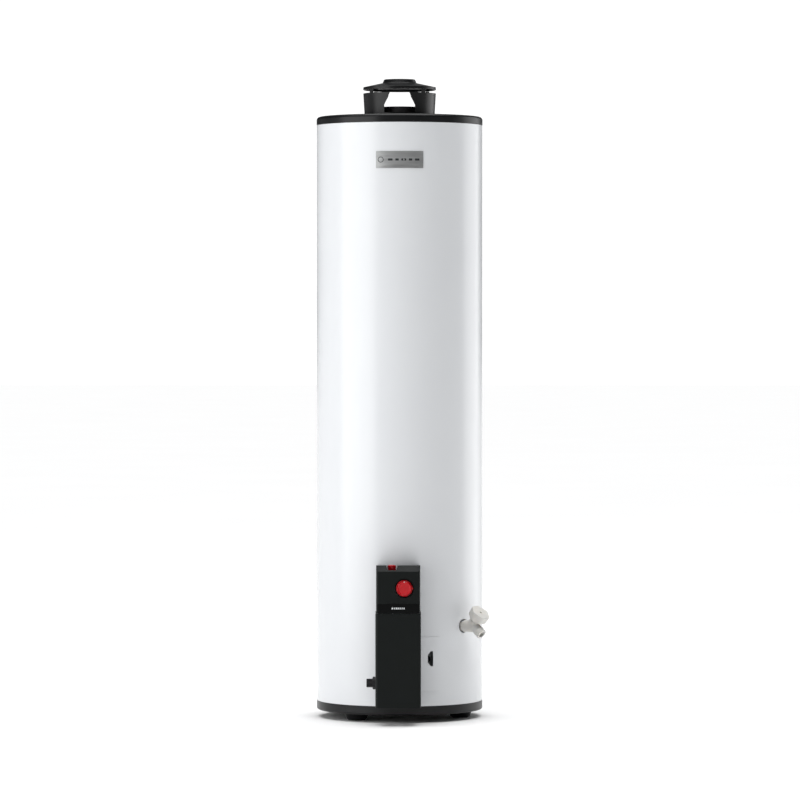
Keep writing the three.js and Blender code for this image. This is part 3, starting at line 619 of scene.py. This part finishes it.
FOOT_CIRCLE = 150.0
FIRST_FOOT = math.radians(-133.2)
cup_profile = [(0, 0), (20, 0, 3), (23.5, 4, 2), (29, 17.7, 0.5), (27.2, 17.7, 0.5)]
cup_profile += [(21.8, 4.6, 2), (19, 2, 2), (0, 2)]
cup = turned("cup", filleted(cup_profile), 48)
feet = grown(
    RING, RING_INPUTS, cup, black_enamel, count=3, radius=FOOT_CIRCLE, start=FIRST_FOOT
)
piece(
    feet, "feet", black_enamel, "heater", "black_enamel", "foot_left", "foot_right", "foot_rear"
)

# %% [markdown]
# The draft hood lets room air join the flue gas. It is a drum with a window at the front and
# one at the back, each narrower at the top, and it carries its lid on four tabs. The back one is
# a little wider, so that its edges stay hidden behind the front one's. The drum is turned as one
# ring and the rest is cut away: the windows, and the gap above the wall, whose cutting tool
# leaves the tabs standing.

# %% The draft hood's drum
HOOD_FOOT, SILL, SHOULDER, WALL_TOP, LID_RIM = 1449.3, 1456, 1474, 1505, 1513.5
HOOD_LOW, HOOD_HIGH = 84.5, 87.7
TAB_ANGLES = (-51, 41, 129, 221)
lean = (HOOD_HIGH - HOOD_LOW) / (WALL_TOP - HOOD_FOOT)
tab_top = LID_RIM - 0.3
tab_radius = HOOD_LOW + lean * (tab_top - HOOD_FOOT)
drum = turned(
    "drum",
    filleted(
        [
            (HOOD_LOW, HOOD_FOOT, 1.2),
            (tab_radius, tab_top),
            (tab_radius - 1.6, tab_top),
            (HOOD_LOW - 1.6, HOOD_FOOT + 1.6, 0.8),
            (64, HOOD_FOOT + 1.6),
            (64, HOOD_FOOT),
        ]
    ),
    144,
)
window = [(-36.8, SILL, 2), (36.8, SILL, 2), (36.8, SHOULDER), (23, WALL_TOP + 0.01)]
window += [(-23, WALL_TOP + 0.01), (-36.8, SHOULDER)]
window_outline = filleted(window)
above = slab((-120, 120), (-120, 120), (WALL_TOP, LID_RIM + 5))
for angle in TAB_ANGLES:
    tab = slab((-6, 6), (-130, -40), (WALL_TOP - 1, LID_RIM + 6))
    tab.data.transform(Matrix.Rotation(math.radians(angle), 4, "Z"))
    carved(above, tab)
BACK_WINDOW = 1.14  # times as wide as the front one
back = [(x * BACK_WINDOW, y) for x, y in window_outline]
carved(
    drum,
    raised("window", window_outline, 0, 150, FRONT),
    raised("back_window", back, -150, 0, FRONT),
    above,
)
softened(drum, 0.35, 2, 50)
piece(drum, "hood_drum", black_enamel, "heater", "black_enamel", "draft_hood")

# %% [markdown]
# The lid is spun from one disc: a rim with a short lip, a low cone and the collar that the vent
# pipe slips over. A spun sheet has no sharp corner anywhere, so every corner of its profile has
# a radius.

# %% The hood's lid
lid_profile = [
    (HOOD_HIGH, LID_RIM, 0.4),
    (HOOD_HIGH, LID_RIM + 6.6, 0.8),
    (41, 1530.4, 1.6),
    (37.6, 1538.2, 0.9),
    (36.6, 1539, 0.5),
    (35, 1539, 0.5),
    (36.8, 1529.2, 1.6),
    (84.2, LID_RIM + 3.2, 1),
    (85.9, LID_RIM, 0.4),
]
lid = turned("lid", filleted(lid_profile, 5), 144)
piece(lid, "hood_lid", black_enamel, "heater", "black_enamel", "draft_hood_lid")

# %% [markdown]
# The flue's upper end shows through the windows: a welded steel tube, dark with scale from the
# heat. The spuds beside it are threaded sockets for the water pipes. A thread is a repeated
# ridge, so its profile is made in a loop, and the ring it turns into is close enough to the real
# helix at this size.


# %% Flue and spuds
def threaded(outer, low, high, depth, pitch):
    """Profile points down a wall that carries rings of thread, from high to low."""
    points = []
    for i in range(int((high - low) / pitch)):
        top = high - i * pitch
        points += [(outer, top), (outer + depth, top - pitch / 2)]
    return points + [(outer, low)]


flue = turned("flue", filleted([(51, 205), (51, 1472, 0.7), (48.5, 1472, 0.7), (48.5, 205)]), 96)
piece(flue, "flue", scaled_steel, "heater", "raw_steel", "flue_tube")
PIPE_PITCH = 1.814  # 14 threads to the inch
SPUD_TOP, SPUD_LOW = 1451.5, 1393.5
spud_profile = [(16.5, SPUD_LOW), (16.5, SPUD_TOP - 0.6), (15.9, SPUD_TOP), (12.9, SPUD_TOP)]
spud_profile += threaded(12, SPUD_TOP - 24, SPUD_TOP - 0.9, 0.75, PIPE_PITCH) + [(12, SPUD_LOW)]
for name, spot in SPUDS.items():
    spud = turned(name + "_socket", spud_profile, 48, spot)
    piece(spud, name + "_socket", mill_steel, "heater", "raw_steel", name)


# %% [markdown]
# Hexagons turn up on the anode rod, the gas pipe and the drain valve. A real one is cut from bar
# and its corners are turned off at a slant, so it is the part that a hexagonal prism and a
# chamfered disc have in common.


# %% Hexagons with turned corners
def hexagon(across, low, high, bore=0, where=None):
    corner = across / math.sqrt(3)
    turns = [t * math.pi / 3 for t in range(6)]
    outline = [(corner * math.cos(t), corner * math.sin(t)) for t in turns]
    bar = raised("hexagon", outline, low, high)
    slant = (corner - across / 2) * 0.62
    disc = [(0, low), (across / 2 - 0.3, low), (corner, low + slant), (corner, high - slant)]
    disc += [(across / 2 - 0.3, high), (0, high)]
    combined(bar, "INTERSECT", [turned("disc", disc, 48)])
    if bore:
        carved(bar, rod(bore, low - 5, high + 5))
    if where:
        bar.data.transform(where)
    return bar


rod_spot = SPUDS["anode_spud"]
anode_profile = [(0, 520), (8.5, 520), (9.5, 522), (9.5, 1396), (11.6, 1396.4), (11.6, 1452.5)]
anode = joined(
    turned("anode", anode_profile + [(0, 1452.5)], 32, rod_spot),
    hexagon(27, 1451.8, 1460.5, where=rod_spot),
)
piece(anode, "anode_rod_and_head", magnesium, "heater", "magnesium", "anode_rod")

# %% [markdown]
# The nameplate is a thin plate of brushed aluminium that follows the jacket. It is drawn flat,
# as it is stamped, and then wrapped: a point's distance along the plate becomes an angle round
# the tank. Its raised border and its plain marks are laid on top in the same way. The marks
# stand for a name without spelling one.


# %% Wrapping a flat plate round the tank
def wrapped(obj, radius):
    """Bends a plate drawn in X and Z, with its thickness along -Y, round the tank."""
    for vertex in obj.data.vertices:
        x, out, z = vertex.co.x, -vertex.co.y, vertex.co.z
        vertex.co = (*around(math.degrees(x / radius), radius + out), z)
    return obj


def frame_of(outline, width, low, high):
    """A flat ring with one outline outside and the same one, drawn in, inside."""
    half_x = max(x for x, _ in outline)
    half_y = max(y for _, y in outline)
    shrink = Matrix.Diagonal(((half_x - width) / half_x, (half_y - width) / half_y, 1, 1))
    ring = raised("ring", outline, low, high)
    return carved(ring, raised("inner", outline, low - 1, high + 1, shrink))


def sliced(obj, step, limit):
    """Cuts a flat plate into strips so that it can bend."""
    work = bmesh.new()
    work.from_mesh(obj.data)
    for i in range(-int(limit / step), int(limit / step) + 1):
        parts = work.verts[:] + work.edges[:] + work.faces[:]
        bmesh.ops.bisect_plane(work, geom=parts, plane_co=(i * step, 0, 0), plane_no=(1, 0, 0))
    work.to_mesh(obj.data)
    work.free()
    return obj


BADGE_HALF, BADGE_TALL, BADGE_Z = 56.6, 20.2, 1338.4
badge_outline = rectangle(BADGE_HALF, BADGE_TALL, 1.5, 4)
badge_spot = Matrix.Translation((0, 0, BADGE_Z)) @ FRONT
badge = raised("badge", badge_outline, 0.3, 0.9, badge_spot)
border = frame_of(badge_outline, 1.2, 0.6, 1.15)
border.data.transform(badge_spot)
joined(badge, border)
wrapped(sliced(badge, 3, 57), JACKET)
piece(
    badge, "nameplate", brushed_aluminium, "heater", "nameplate", "badge_plate", sharp=25
)

# %% [markdown]
# The marks are a ring and a row of bars. A second tree sets copies in a row, and serves both the
# nameplate and the small print on the cover's glossy strip.


# %% A tree that sets copies in a row
def row_tree():
    tree = bpy.data.node_groups.new("row_of_copies", "GeometryNodeTree")
    names = {
        "part": node_input(tree, "Part", "NodeSocketObject"),
        "count": node_input(tree, "Count", "NodeSocketInt", 3),
        "spacing": node_input(tree, "Spacing", "NodeSocketFloat", 10.0),
        "spread": node_input(tree, "Width spread", "NodeSocketFloat", 0.0),
        "seed": node_input(tree, "Seed", "NodeSocketInt", 4),
        "material": node_input(tree, "Material", "NodeSocketMaterial"),
    }
    tree.interface.new_socket(name="Mesh", in_out="OUTPUT", socket_type="NodeSocketGeometry")
    given = add(tree, "NodeGroupInput").outputs
    part = add(tree, "GeometryNodeObjectInfo", {"Object": given["Part"]}).outputs["Geometry"]
    step = add(tree, "ShaderNodeCombineXYZ", {"X": given["Spacing"]}).outputs["Vector"]
    line = add(
        tree, "GeometryNodeMeshLine", {"Count": given["Count"], "Offset": step}
    ).outputs["Mesh"]
    least = add(tree, "ShaderNodeMath", {0: 1.0, 1: given["Width spread"]}, operation="SUBTRACT")
    chance = add(
        tree,
        "FunctionNodeRandomValue",
        {"Min": least.outputs[0], "Max": 1.0, "Seed": given["Seed"]},
        data_type="FLOAT",
    )
    width = add(tree, "ShaderNodeCombineXYZ", {"X": chance.outputs["Value"], "Y": 1.0, "Z": 1.0})
    copies = add(
        tree,
        "GeometryNodeInstanceOnPoints",
        {"Points": line, "Instance": part, "Scale": width.outputs["Vector"]},
    ).outputs["Instances"]
    real = add(tree, "GeometryNodeRealizeInstances", {0: copies}).outputs[0]
    inked = add(
        tree, "GeometryNodeSetMaterial", {"Geometry": real, "Material": given["Material"]}
    ).outputs[0]
    add(tree, "NodeGroupOutput", {0: inked})
    return tree, names


ROW, ROW_INPUTS = row_tree()
print("row inputs:", ROW_INPUTS)

# %% [markdown]
# Five plain bars of uneven width and one ring make the nameplate's marks. They are drawn flat
# on the flat plate and then wrapped with the plate's own radius.

# %% The marks on the nameplate
bar = raised("bar", rectangle(6.2, 2.6, 1.2), 0, 0.35)
marks = grown(ROW, ROW_INPUTS, bar, dark_ink, count=5, spacing=16, spread=0.4, seed=4)
marks.data.transform(Matrix.Translation((-22, 0, 0.62)))
ring = turned("ring", [(7, 0.62), (7, 0.97), (5.4, 0.97), (5.4, 0.62)], 32)
ring.data.transform(Matrix.Translation((-45, 0, 0)))
joined(marks, ring)
marks.data.transform(badge_spot)
wrapped(marks, JACKET)
piece(marks, "nameplate_marks", dark_ink, "heater", "gloss_black")

# %% [markdown]
# The control sits behind two black plastic covers, each a channel with rounded front corners
# that ends just clear of the jacket. The upper one has a top that slopes down to its face, a
# notch for the push button and a round hole for the dial. It is built as it is moulded: outside
# shape, less inside shape, less the openings.

# %% Measures of the covers
COVER_FRONT, COVER_X, COVER_WALL, COVER_CORNER = 290, -3.3, 2.5, 6
COVER_TOP, COVER_SPLIT, COVER_BOTTOM, COVER_BEVEL = 380, 267.4, 44.5, 14
UPPER_HALF, LOWER_HALF = 52, 53.8
BUTTON_X, BUTTON_Y = -18.2, -250


def channel(half, inset, low, high):
    """A block with the plan of a cover, drawn in by an inset."""
    left, right, front = COVER_X - half + inset, COVER_X + half - inset, inset - COVER_FRONT
    corner = max(COVER_CORNER - inset, 0.5)
    outline = [(left, -150), (left, front, corner), (right, front, corner), (right, -150)]
    return raised("channel", filleted(outline, 8), low, high)


def under_slope(inset, low):
    """The space under the upper cover's top, which falls a little towards the jacket."""
    top, front = COVER_TOP - inset, COVER_FRONT - inset
    slope = COVER_BEVEL - inset * (math.sqrt(2) - 1)
    side = [(150, low), (front, low), (front, top - slope), (front - slope, top), (150, top - 7)]
    turn = Matrix.Rotation(math.radians(-90), 4, "Z") @ FRONT
    return raised("side", side, -80, 80, turn)


def jacket_clearance():
    return rod(JACKET + 2, 20, 400, steps=288)


# %% [markdown]
# The upper cover is the block under the slope, hollowed by the same shape drawn in by the wall.
# The button's notch widens upwards. A shallow groove crosses the front just above the strip.

# %% The upper cover
DIAL_HOLE, GROOVE_Z = 22.6, (290.6, 291.4)
upper = channel(UPPER_HALF, 0, COVER_SPLIT + 0.3, COVER_TOP)
combined(upper, "INTERSECT", [under_slope(0, COVER_SPLIT + 0.3)])
hollow = channel(UPPER_HALF, COVER_WALL, COVER_SPLIT - 1, COVER_TOP - COVER_WALL)
combined(hollow, "INTERSECT", [under_slope(COVER_WALL, COVER_SPLIT - 1)])
notch = [(-9.8, 369, 1), (9.8, 369, 1), (14.8, 381), (-14.8, 381)]
notch_tool = raised(
    "notch", filleted(notch), 150, 320, Matrix.Translation((BUTTON_X, 0, 0)) @ FRONT
)
dial_spot = Matrix.Translation((DIAL_X, 0, DIAL_Z)) @ FRONT
carved(upper, hollow, jacket_clearance(), notch_tool, rod(DIAL_HOLE, 270, 310, dial_spot, 96))
groove = slab((COVER_X - 60, COVER_X + 60), (-COVER_FRONT - 1, -COVER_FRONT + 0.5), GROOVE_Z)
carved(upper, groove)
softened(upper, 0.5, 2, 50)
piece(
    upper, "upper_cover_shell", black_abs, "upper_cover", "black_plastic", "upper_cover", sharp=28
)

# %% [markdown]
# The lower cover is a plain channel, open above and below. Its left side has a notch for the gas
# pipe.

# %% The lower cover
lower = channel(LOWER_HALF, 0, COVER_BOTTOM, COVER_SPLIT - 0.3)
hollow = channel(LOWER_HALF, COVER_WALL, COVER_BOTTOM - 1, COVER_SPLIT + 1)
pipe_notch = slab((-80, -40), (-262, -150), (83, 117))
carved(lower, hollow, jacket_clearance(), pipe_notch)
softened(lower, 0.5, 2, 50)
piece(
    lower, "lower_cover_shell", black_abs, "lower_cover", "black_plastic", "lower_cover", sharp=28
)

# %% [markdown]
# A polished strip crosses the foot of the upper cover and turns a little way round its corners,
# so it is cut from the cover's own plan drawn slightly larger. Its small print is a row of plain
# dashes, laid on the surface as screen-printed ink is.

# %% The glossy strip and its print
STRIP_LOW, STRIP_TOP = COVER_SPLIT + 1, 289.6
strip_middle = (STRIP_LOW + STRIP_TOP) / 2
strip_spot = Matrix.Translation((COVER_X, 0, strip_middle)) @ FRONT
strip = channel(UPPER_HALF, -0.85, STRIP_LOW, STRIP_TOP)
within = raised("within", rectangle(UPPER_HALF - 2.6, 10.4, 1.5), 200, 300, strip_spot)
carved(strip, channel(UPPER_HALF, -0.3, STRIP_LOW - 1, STRIP_TOP + 1))
combined(strip, "INTERSECT", [within, slab((-90, 90), (-300, -COVER_FRONT + 4), (200, 300))])
piece(strip, "glossy_strip", gloss_abs, "upper_cover", "gloss_black", "label_strip")
dash = raised("dash", rectangle(1.7, 2.1, 0.4), 0, 0.12)
print_marks = grown(ROW, ROW_INPUTS, dash, white_ink, count=7, spacing=4.6, spread=0.35, seed=9)
print_marks.data.transform(strip_spot @ Matrix.Translation((-13.8, 0.2, COVER_FRONT + 0.86)))
piece(print_marks, "strip_print", white_ink, "upper_cover", "gloss_black")

# %% [markdown]
# The dial is a glossy red disc that stands on a wider flange, with a groove between them. The
# raised bead along its edge carries the highlights. It has a low bar in the middle of its face,
# a pointer tab at the right and a white dot to read. Fine ribs round its side give a wet hand a
# hold: forty of them, set in a ring by the feet's tree.

# %% The temperature dial
DIAL, DIAL_BACK, DIAL_FRONT = 19.5, COVER_FRONT - 4, COVER_FRONT + 9
dial_profile = filleted(
    [
        (0.02, DIAL_BACK),
        (DIAL - 0.4, DIAL_BACK, 0.4),
        (DIAL - 0.4, DIAL_BACK + 4.4, 1),
        (DIAL - 1.6, DIAL_BACK + 4.4, 0.6),
        (DIAL - 2.6, DIAL_BACK + 1.6, 0.4),
        (DIAL - 3.0, DIAL_FRONT - 0.4, 1.9),
        (DIAL - 5.4, DIAL_FRONT - 0.4, 1.0),
        (DIAL - 6.2, DIAL_FRONT - 1.8, 0.9),
        (0.02, DIAL_FRONT - 1.8),
    ],
    8,
)
dial = turned("dial", [(0, DIAL_BACK)] + dial_profile[1:-1] + [(0, DIAL_FRONT - 1.8)], 120)
grip = raised("grip", rectangle(6.5, 1.6, 1.4), DIAL_FRONT - 4, DIAL_FRONT - 1.2)
softened(grip, 0.25, 2, 50)
pointer = [(DIAL - 2, -3.6), (DIAL + 2, -0.4, 1.2), (DIAL + 2, 0.4, 1.2), (DIAL - 2, 3.6)]
tab = raised("tab", filleted(pointer), DIAL_BACK, DIAL_BACK + 5)
softened(tab, 0.4, 2, 50)
joined(dial, grip, tab)
carved(dial, rod(3.4, DIAL_BACK - 1, DIAL_BACK + 6))
rib = raised("rib", rectangle(0.5, 0.4, 0.3), DIAL_BACK + 3, DIAL_FRONT - 3.0)
ribs = grown(RING, RING_INPUTS, rib, red_abs, count=40, radius=DIAL - 2.9, start=0.08)
joined(dial, ribs)
dial.data.transform(dial_spot)
piece(dial, "dial_knob", red_abs, "dial", "red_plastic", "temperature_dial", sharp=30)
dot = turned("dot", [(0, 0), (1.1, 0), (1.1, 0.2), (0.9, 0.32), (0, 0.32)], 24)
dot.data.transform(dial_spot @ Matrix.Translation((0, DIAL - 4.3, DIAL_FRONT - 0.42)))
piece(dot, "dial_dot", white_ink, "dial", "red_plastic")

# %% [markdown]
# Behind the dial a black disc closes the hole in the cover. The push button is a red cap on a
# stem, domed on top, and its side is ribbed lengthways like the dial's.

# %% The backplate and the button
disc = turned(
    "disc", filleted([(21.8, 272), (21.8, 273.5, 0.3), (6, 273.5, 0.3), (6, 272)]), 96, dial_spot
)
piece(disc, "dial_backing", black_abs, "heater", "black_plastic", "dial_backplate")
button_profile = filleted(
    [
        (0.02, 344),
        (4, 344, 0.5),
        (4, 366, 0.5),
        (9.2, 366, 0.4),
        (9.2, COVER_TOP - 0.6, 2),
        (5, COVER_TOP - 0.1, 4),
        (0.02, COVER_TOP),
    ],
    6,
)
button = turned("button", [(0, 344)] + button_profile[1:-1] + [(0, COVER_TOP)], 72)
rib = raised("rib", rectangle(0.45, 0.4, 0.25), 367, COVER_TOP - 3)
ribs = grown(RING, RING_INPUTS, rib, red_abs, count=24, radius=9.15, start=0.1)
joined(button, ribs)
button.data.transform(Matrix.Translation((BUTTON_X, BUTTON_Y, 0)))
piece(button, "push_button", red_abs, "button", "red_plastic", "pilot_button")

# %% [markdown]
# The gas comes in by a half-inch iron nipple at the left of the cover, screwed into a hexagon
# coupling. Its free end is threaded and waits for the house pipe. The pipe behind the cover
# bends up to the control, and keeps its CAD shape.

# %% The gas inlet
GAS_Y, GAS_Z, GAS_END = -245, 100, 78.4
to_left = Matrix.Translation((0, GAS_Y, GAS_Z)) @ Matrix.Rotation(math.radians(-90), 4, "Y")
coupling = hexagon(26, 50.4, 64, 10.9, to_left)
softened(coupling, 0.25, 2, 20)
piece(coupling, "gas_hexagon", black_pipe, "heater", "black_pipe", "gas_coupling", sharp=25)
thread = threaded(9.95, GAS_END - 13.2, GAS_END - 0.5, 0.62, PIPE_PITCH)
nipple_profile = [(7.9, 50.8), (7.9, GAS_END), (9.4, GAS_END)] + thread
nipple_profile += [(10.5, 64.6), (10.5, 50.8)]
nipple = turned("nipple", nipple_profile, 64, to_left)
piece(nipple, "gas_nipple_pipe", black_pipe, "heater", "black_pipe", "gas_nipple", sharp=25)

# %% [markdown]
# The drain valve is moulded in off-white nylon: a neck out of the tank, a bonnet that slants up
# for the stem and a hose end that slants down. Moulded shapes flow into each other, so the parts
# are first joined, then remeshed to a fine even net and relaxed, which rounds the valleys
# between them. The bores are cut last, so that they stay crisp.

# %% Where the drain valve's parts point
DRAIN = Matrix.Translation((0, 0, DRAIN_Z)) @ Matrix.Rotation(math.radians(DRAIN_ANGLE), 4, "Z")


def slanting(reach, tilt):
    """The matrix of a part that leaves the neck at a reach and a tilt from level."""
    lean = Matrix.Rotation(math.radians(90 - tilt), 4, "X")
    return DRAIN @ Matrix.Translation((0, -reach, 0)) @ lean


BONNET = slanting(JACKET + 23.6, 50)
OUTLET = slanting(JACKET + 33.8, -40)
NECK = DRAIN @ FRONT

# %% [markdown]
# A ball fills the bend where the two slanting parts leave the neck. The shank that screws into
# the tank is added after the smoothing, so that it keeps its full size.

# %% The drain valve's body
BALL, SHANK, INLET_BORE, HOSE_BORE, BONNET_BORE = 14, 11.5, 7, 8, 8.5  # radii
body = turned(
    "body",
    filleted([(0.02, 202), (14, 202, 1.4), (14, 231, 3), (0.02, 232)]),
    64,
    NECK,
)
meridian = [math.pi * i / 16 for i in range(1, 16)]
ball_profile = [(BALL * math.sin(t), -BALL * math.cos(t)) for t in meridian]
ball_profile = [(0, -BALL)] + ball_profile + [(0, BALL)]
ball = turned("ball", ball_profile, 48, DRAIN @ Matrix.Translation((0, -229.8, 0)))
bonnet_profile = [(0.02, -6), (12.9, -6), (12.9, 18.6, 0.8), (0.02, 18.8)]
outlet_profile = [(0.02, 0), (12.3, 0), (12.3, 14.4, 0.6), (13.2, 15.2, 0.6), (13.2, 18.6, 0.6)]
outlet_profile += [(12.3, 19.4, 0.6), (12.3, 29, 0.8), (0.02, 29)]
joined(
    body,
    ball,
    turned("bonnet", filleted(bonnet_profile), 64, BONNET),
    turned("outlet", filleted(outlet_profile), 64, OUTLET),
)
net = body.modifiers.new("net", "REMESH")
net.mode = "VOXEL"
net.voxel_size = 0.75
relax = body.modifiers.new("relax", "SMOOTH")
relax.factor = 0.5
relax.iterations = 4
applied(body)
joined(body, rod(SHANK, 181, 204, NECK, 64))
carved(
    body,
    rod(INLET_BORE, 170, 233.8, NECK, 48),
    rod(HOSE_BORE, -2, 40, OUTLET, 48),
    rod(BONNET_BORE, -9, 30, BONNET, 48),
)
piece(body, "drain_body", ivory_nylon, "heater", "ivory_plastic", "drain_valve_body", sharp=40)

# %% [markdown]
# A gland nut holds the stem in the bonnet. The handwheel is a hollow knob that widens upwards,
# with six soft lobes for the fingers, a slightly dished top and a screw recess in the middle.
# Nut, knob and stem share the bonnet's axis.

# %% Gland nut and handwheel
nut = hexagon(27, 19.3, 23.6, 5.2, BONNET)
softened(nut, 0.3, 2, 20)
piece(nut, "gland_nut", ivory_nylon, "heater", "ivory_plastic", "drain_gland_nut", sharp=25)
KNOB, KNOB_LOW, KNOB_HIGH = 24.5, 25, 46
LOBES, LOBE_DEPTH, KNOB_TAPER, KNOB_HOLLOW = 6, 1.2, 0.93, 19.5
lobes = []
for i in range(144):
    turn = math.tau * i / 144
    reach = KNOB - LOBE_DEPTH + LOBE_DEPTH * math.cos(LOBES * turn)
    lobes.append((reach * math.cos(turn), reach * math.sin(turn)))
knob = raised("knob", lobes, KNOB_LOW, KNOB_HIGH)
for vertex in knob.data.vertices:
    if vertex.co.z < KNOB_LOW + 1:
        vertex.co.xy *= KNOB_TAPER
softened(knob, 2, 4, 60)
carved(
    knob,
    rod(KNOB_HOLLOW, KNOB_LOW - 1, KNOB_HIGH - 3.5, steps=96),
    turned("dish", [(0, 45.2), (13, 45.2), (16, 46.1), (16, 50), (0, 50)], 96),
)
hub = turned("hub", filleted([(0, 24), (9, 24, 0.6), (9, 43), (0, 43)]), 48)
joined(knob, hub)
carved(knob, rod(5, 20, 34.3), rod(2.9, 37, 50))
knob.data.transform(BONNET)
piece(
    knob, "drain_knob", ivory_nylon, "drain_wheel", "ivory_plastic", "drain_handwheel", sharp=30
)

# %% [markdown]
# What lies inside keeps its CAD shape, which is already right, and only gets its material: the
# tank and its foam, the burner and its tubes, the control with its bracket, and the valve's stem
# and washer. Most of it shows only when a cover or the door is open.

# %% Materials of the CAD nodes that stay
KEPT = {
    glassed_steel: ["tank_shell"],
    rigid_foam: ["foam_insulation"],
    galvanised: [
        "flue_baffle",
        "radiation_shield",
        "burner_mixer_tube",
        "inner_door",
        "pilot_burner",
        "cover_bracket",
    ],
    mill_steel: ["drain_spud", "thermostat_spud", "burner_head"],
    ivory_nylon: ["dip_tube", "drain_stem"],
    rubber: ["drain_seat_washer"],
    cast_aluminium: ["gas_valve", "burner_supply_tube"],
    drawn_copper: ["thermostat_probe", "pilot_supply_tube"],
    turned_brass: ["dial_shaft", "burner_orifice"],
    black_pipe: ["gas_inlet_pipe"],
}
for material, names in KEPT.items():
    for name in names:
        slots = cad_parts[name].data.materials
        slots.clear()
        slots.append(material)
dressed = sum(KEPT.values(), [])
shown = [name for name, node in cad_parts.items() if not node.hide_render]
print("CAD nodes that still need a material:", [name for name in shown if name not in dressed])

# %% [markdown]
# The heater stands on a pale floor that is lit from straight above by one wide sun. A wide sun
# gives the floor an even white and puts a soft shadow close under the pan, and it leaves the
# upright jacket to the other lights.

# %% The floor and the light from above
floor = raised("floor", [(-60, -60), (60, -60), (60, 60), (-60, 60)], -0.05, 0)
floor_paint = finish("matt_white_floor", "f3f3f3", "f6f6f6", 900, (0.9, 0.95), (20, 0.01))
floor.data.materials.append(floor_paint)


def lamp(kind, name, energy, location=(0, 0, 5), aim=(0, 0, 0.8), **settings):
    data = bpy.data.lights.new(name, kind)
    data.energy = energy
    for setting, value in settings.items():
        setattr(data, setting, value)
    obj = bpy.data.objects.new(name, data)
    bpy.context.scene.collection.objects.link(obj)
    obj.location = location
    obj.rotation_euler = (Vector(aim) - Vector(location)).to_track_quat("-Z", "Y").to_euler()
    obj.visible_camera = False
    return obj


lamp("SUN", "wide_sun", 3.5, (0, 0, 5), (0, 0.001, 0), angle=math.radians(72))

# %% [markdown]
# The jacket is a mirror of the room in miniature. A big soft light at the front left makes the
# broad bright side and fades evenly to the right. A narrow panel behind on the right is seen
# only at a grazing angle, and draws the thin bright band near the right edge. The room itself is
# dim, and white only where the camera looks straight at it.


# %% The softboxes and the room
def softbox(name, angle, distance, height, size, glow):
    """A panel at an angle round from the front; glow is its brightness."""
    x, y = around(angle, distance)
    energy = glow * math.pi * size[0] * size[1]
    return lamp(
        "AREA", name, energy, (x, y, height), shape="RECTANGLE", size=size[0], size_y=size[1]
    )


softbox("key", angle=-60, distance=4.4, height=1.4, size=(4.4, 3.4), glow=2.75)
softbox("edge", angle=120, distance=3.2, height=1.2, size=(2.4, 3.4), glow=1.9)
softbox("back", angle=175, distance=5.0, height=1.8, size=(2.0, 3.0), glow=0.3)
world = bpy.data.worlds.new("studio")
bpy.context.scene.world = world
world.use_nodes = True
sky = world.node_tree
sky.nodes.clear()
seen = add(sky, "ShaderNodeLightPath").outputs["Is Camera Ray"]
dim = add(sky, "ShaderNodeBackground", {"Color": linear("eef2f8"), "Strength": 0.04})
white = add(sky, "ShaderNodeBackground", {"Color": (1, 1, 1, 1), "Strength": 1.1})
both = add(sky, "ShaderNodeMixShader", {0: seen, 1: dim.outputs[0], 2: white.outputs[0]})
add(sky, "ShaderNodeOutputWorld", {"Surface": both.outputs[0]})

# %% [markdown]
# The camera stands ten metres in front, a little above the heater's middle and with a long lens,
# and looks very slightly down. There is no film curve, so white stays white.

# %% The camera
camera = bpy.data.objects.new("camera", bpy.data.cameras.new("camera"))
bpy.context.scene.collection.objects.link(camera)
camera.data.lens = 191.25
camera.data.sensor_width = 36
camera.data.clip_end = 200
camera.location = (0.001, AXIS.y - 10.28, 0.939)
camera.rotation_euler = (math.radians(90 - 0.97), 0, 0)
bpy.context.scene.camera = camera
bpy.context.scene.view_settings.view_transform = "Standard"
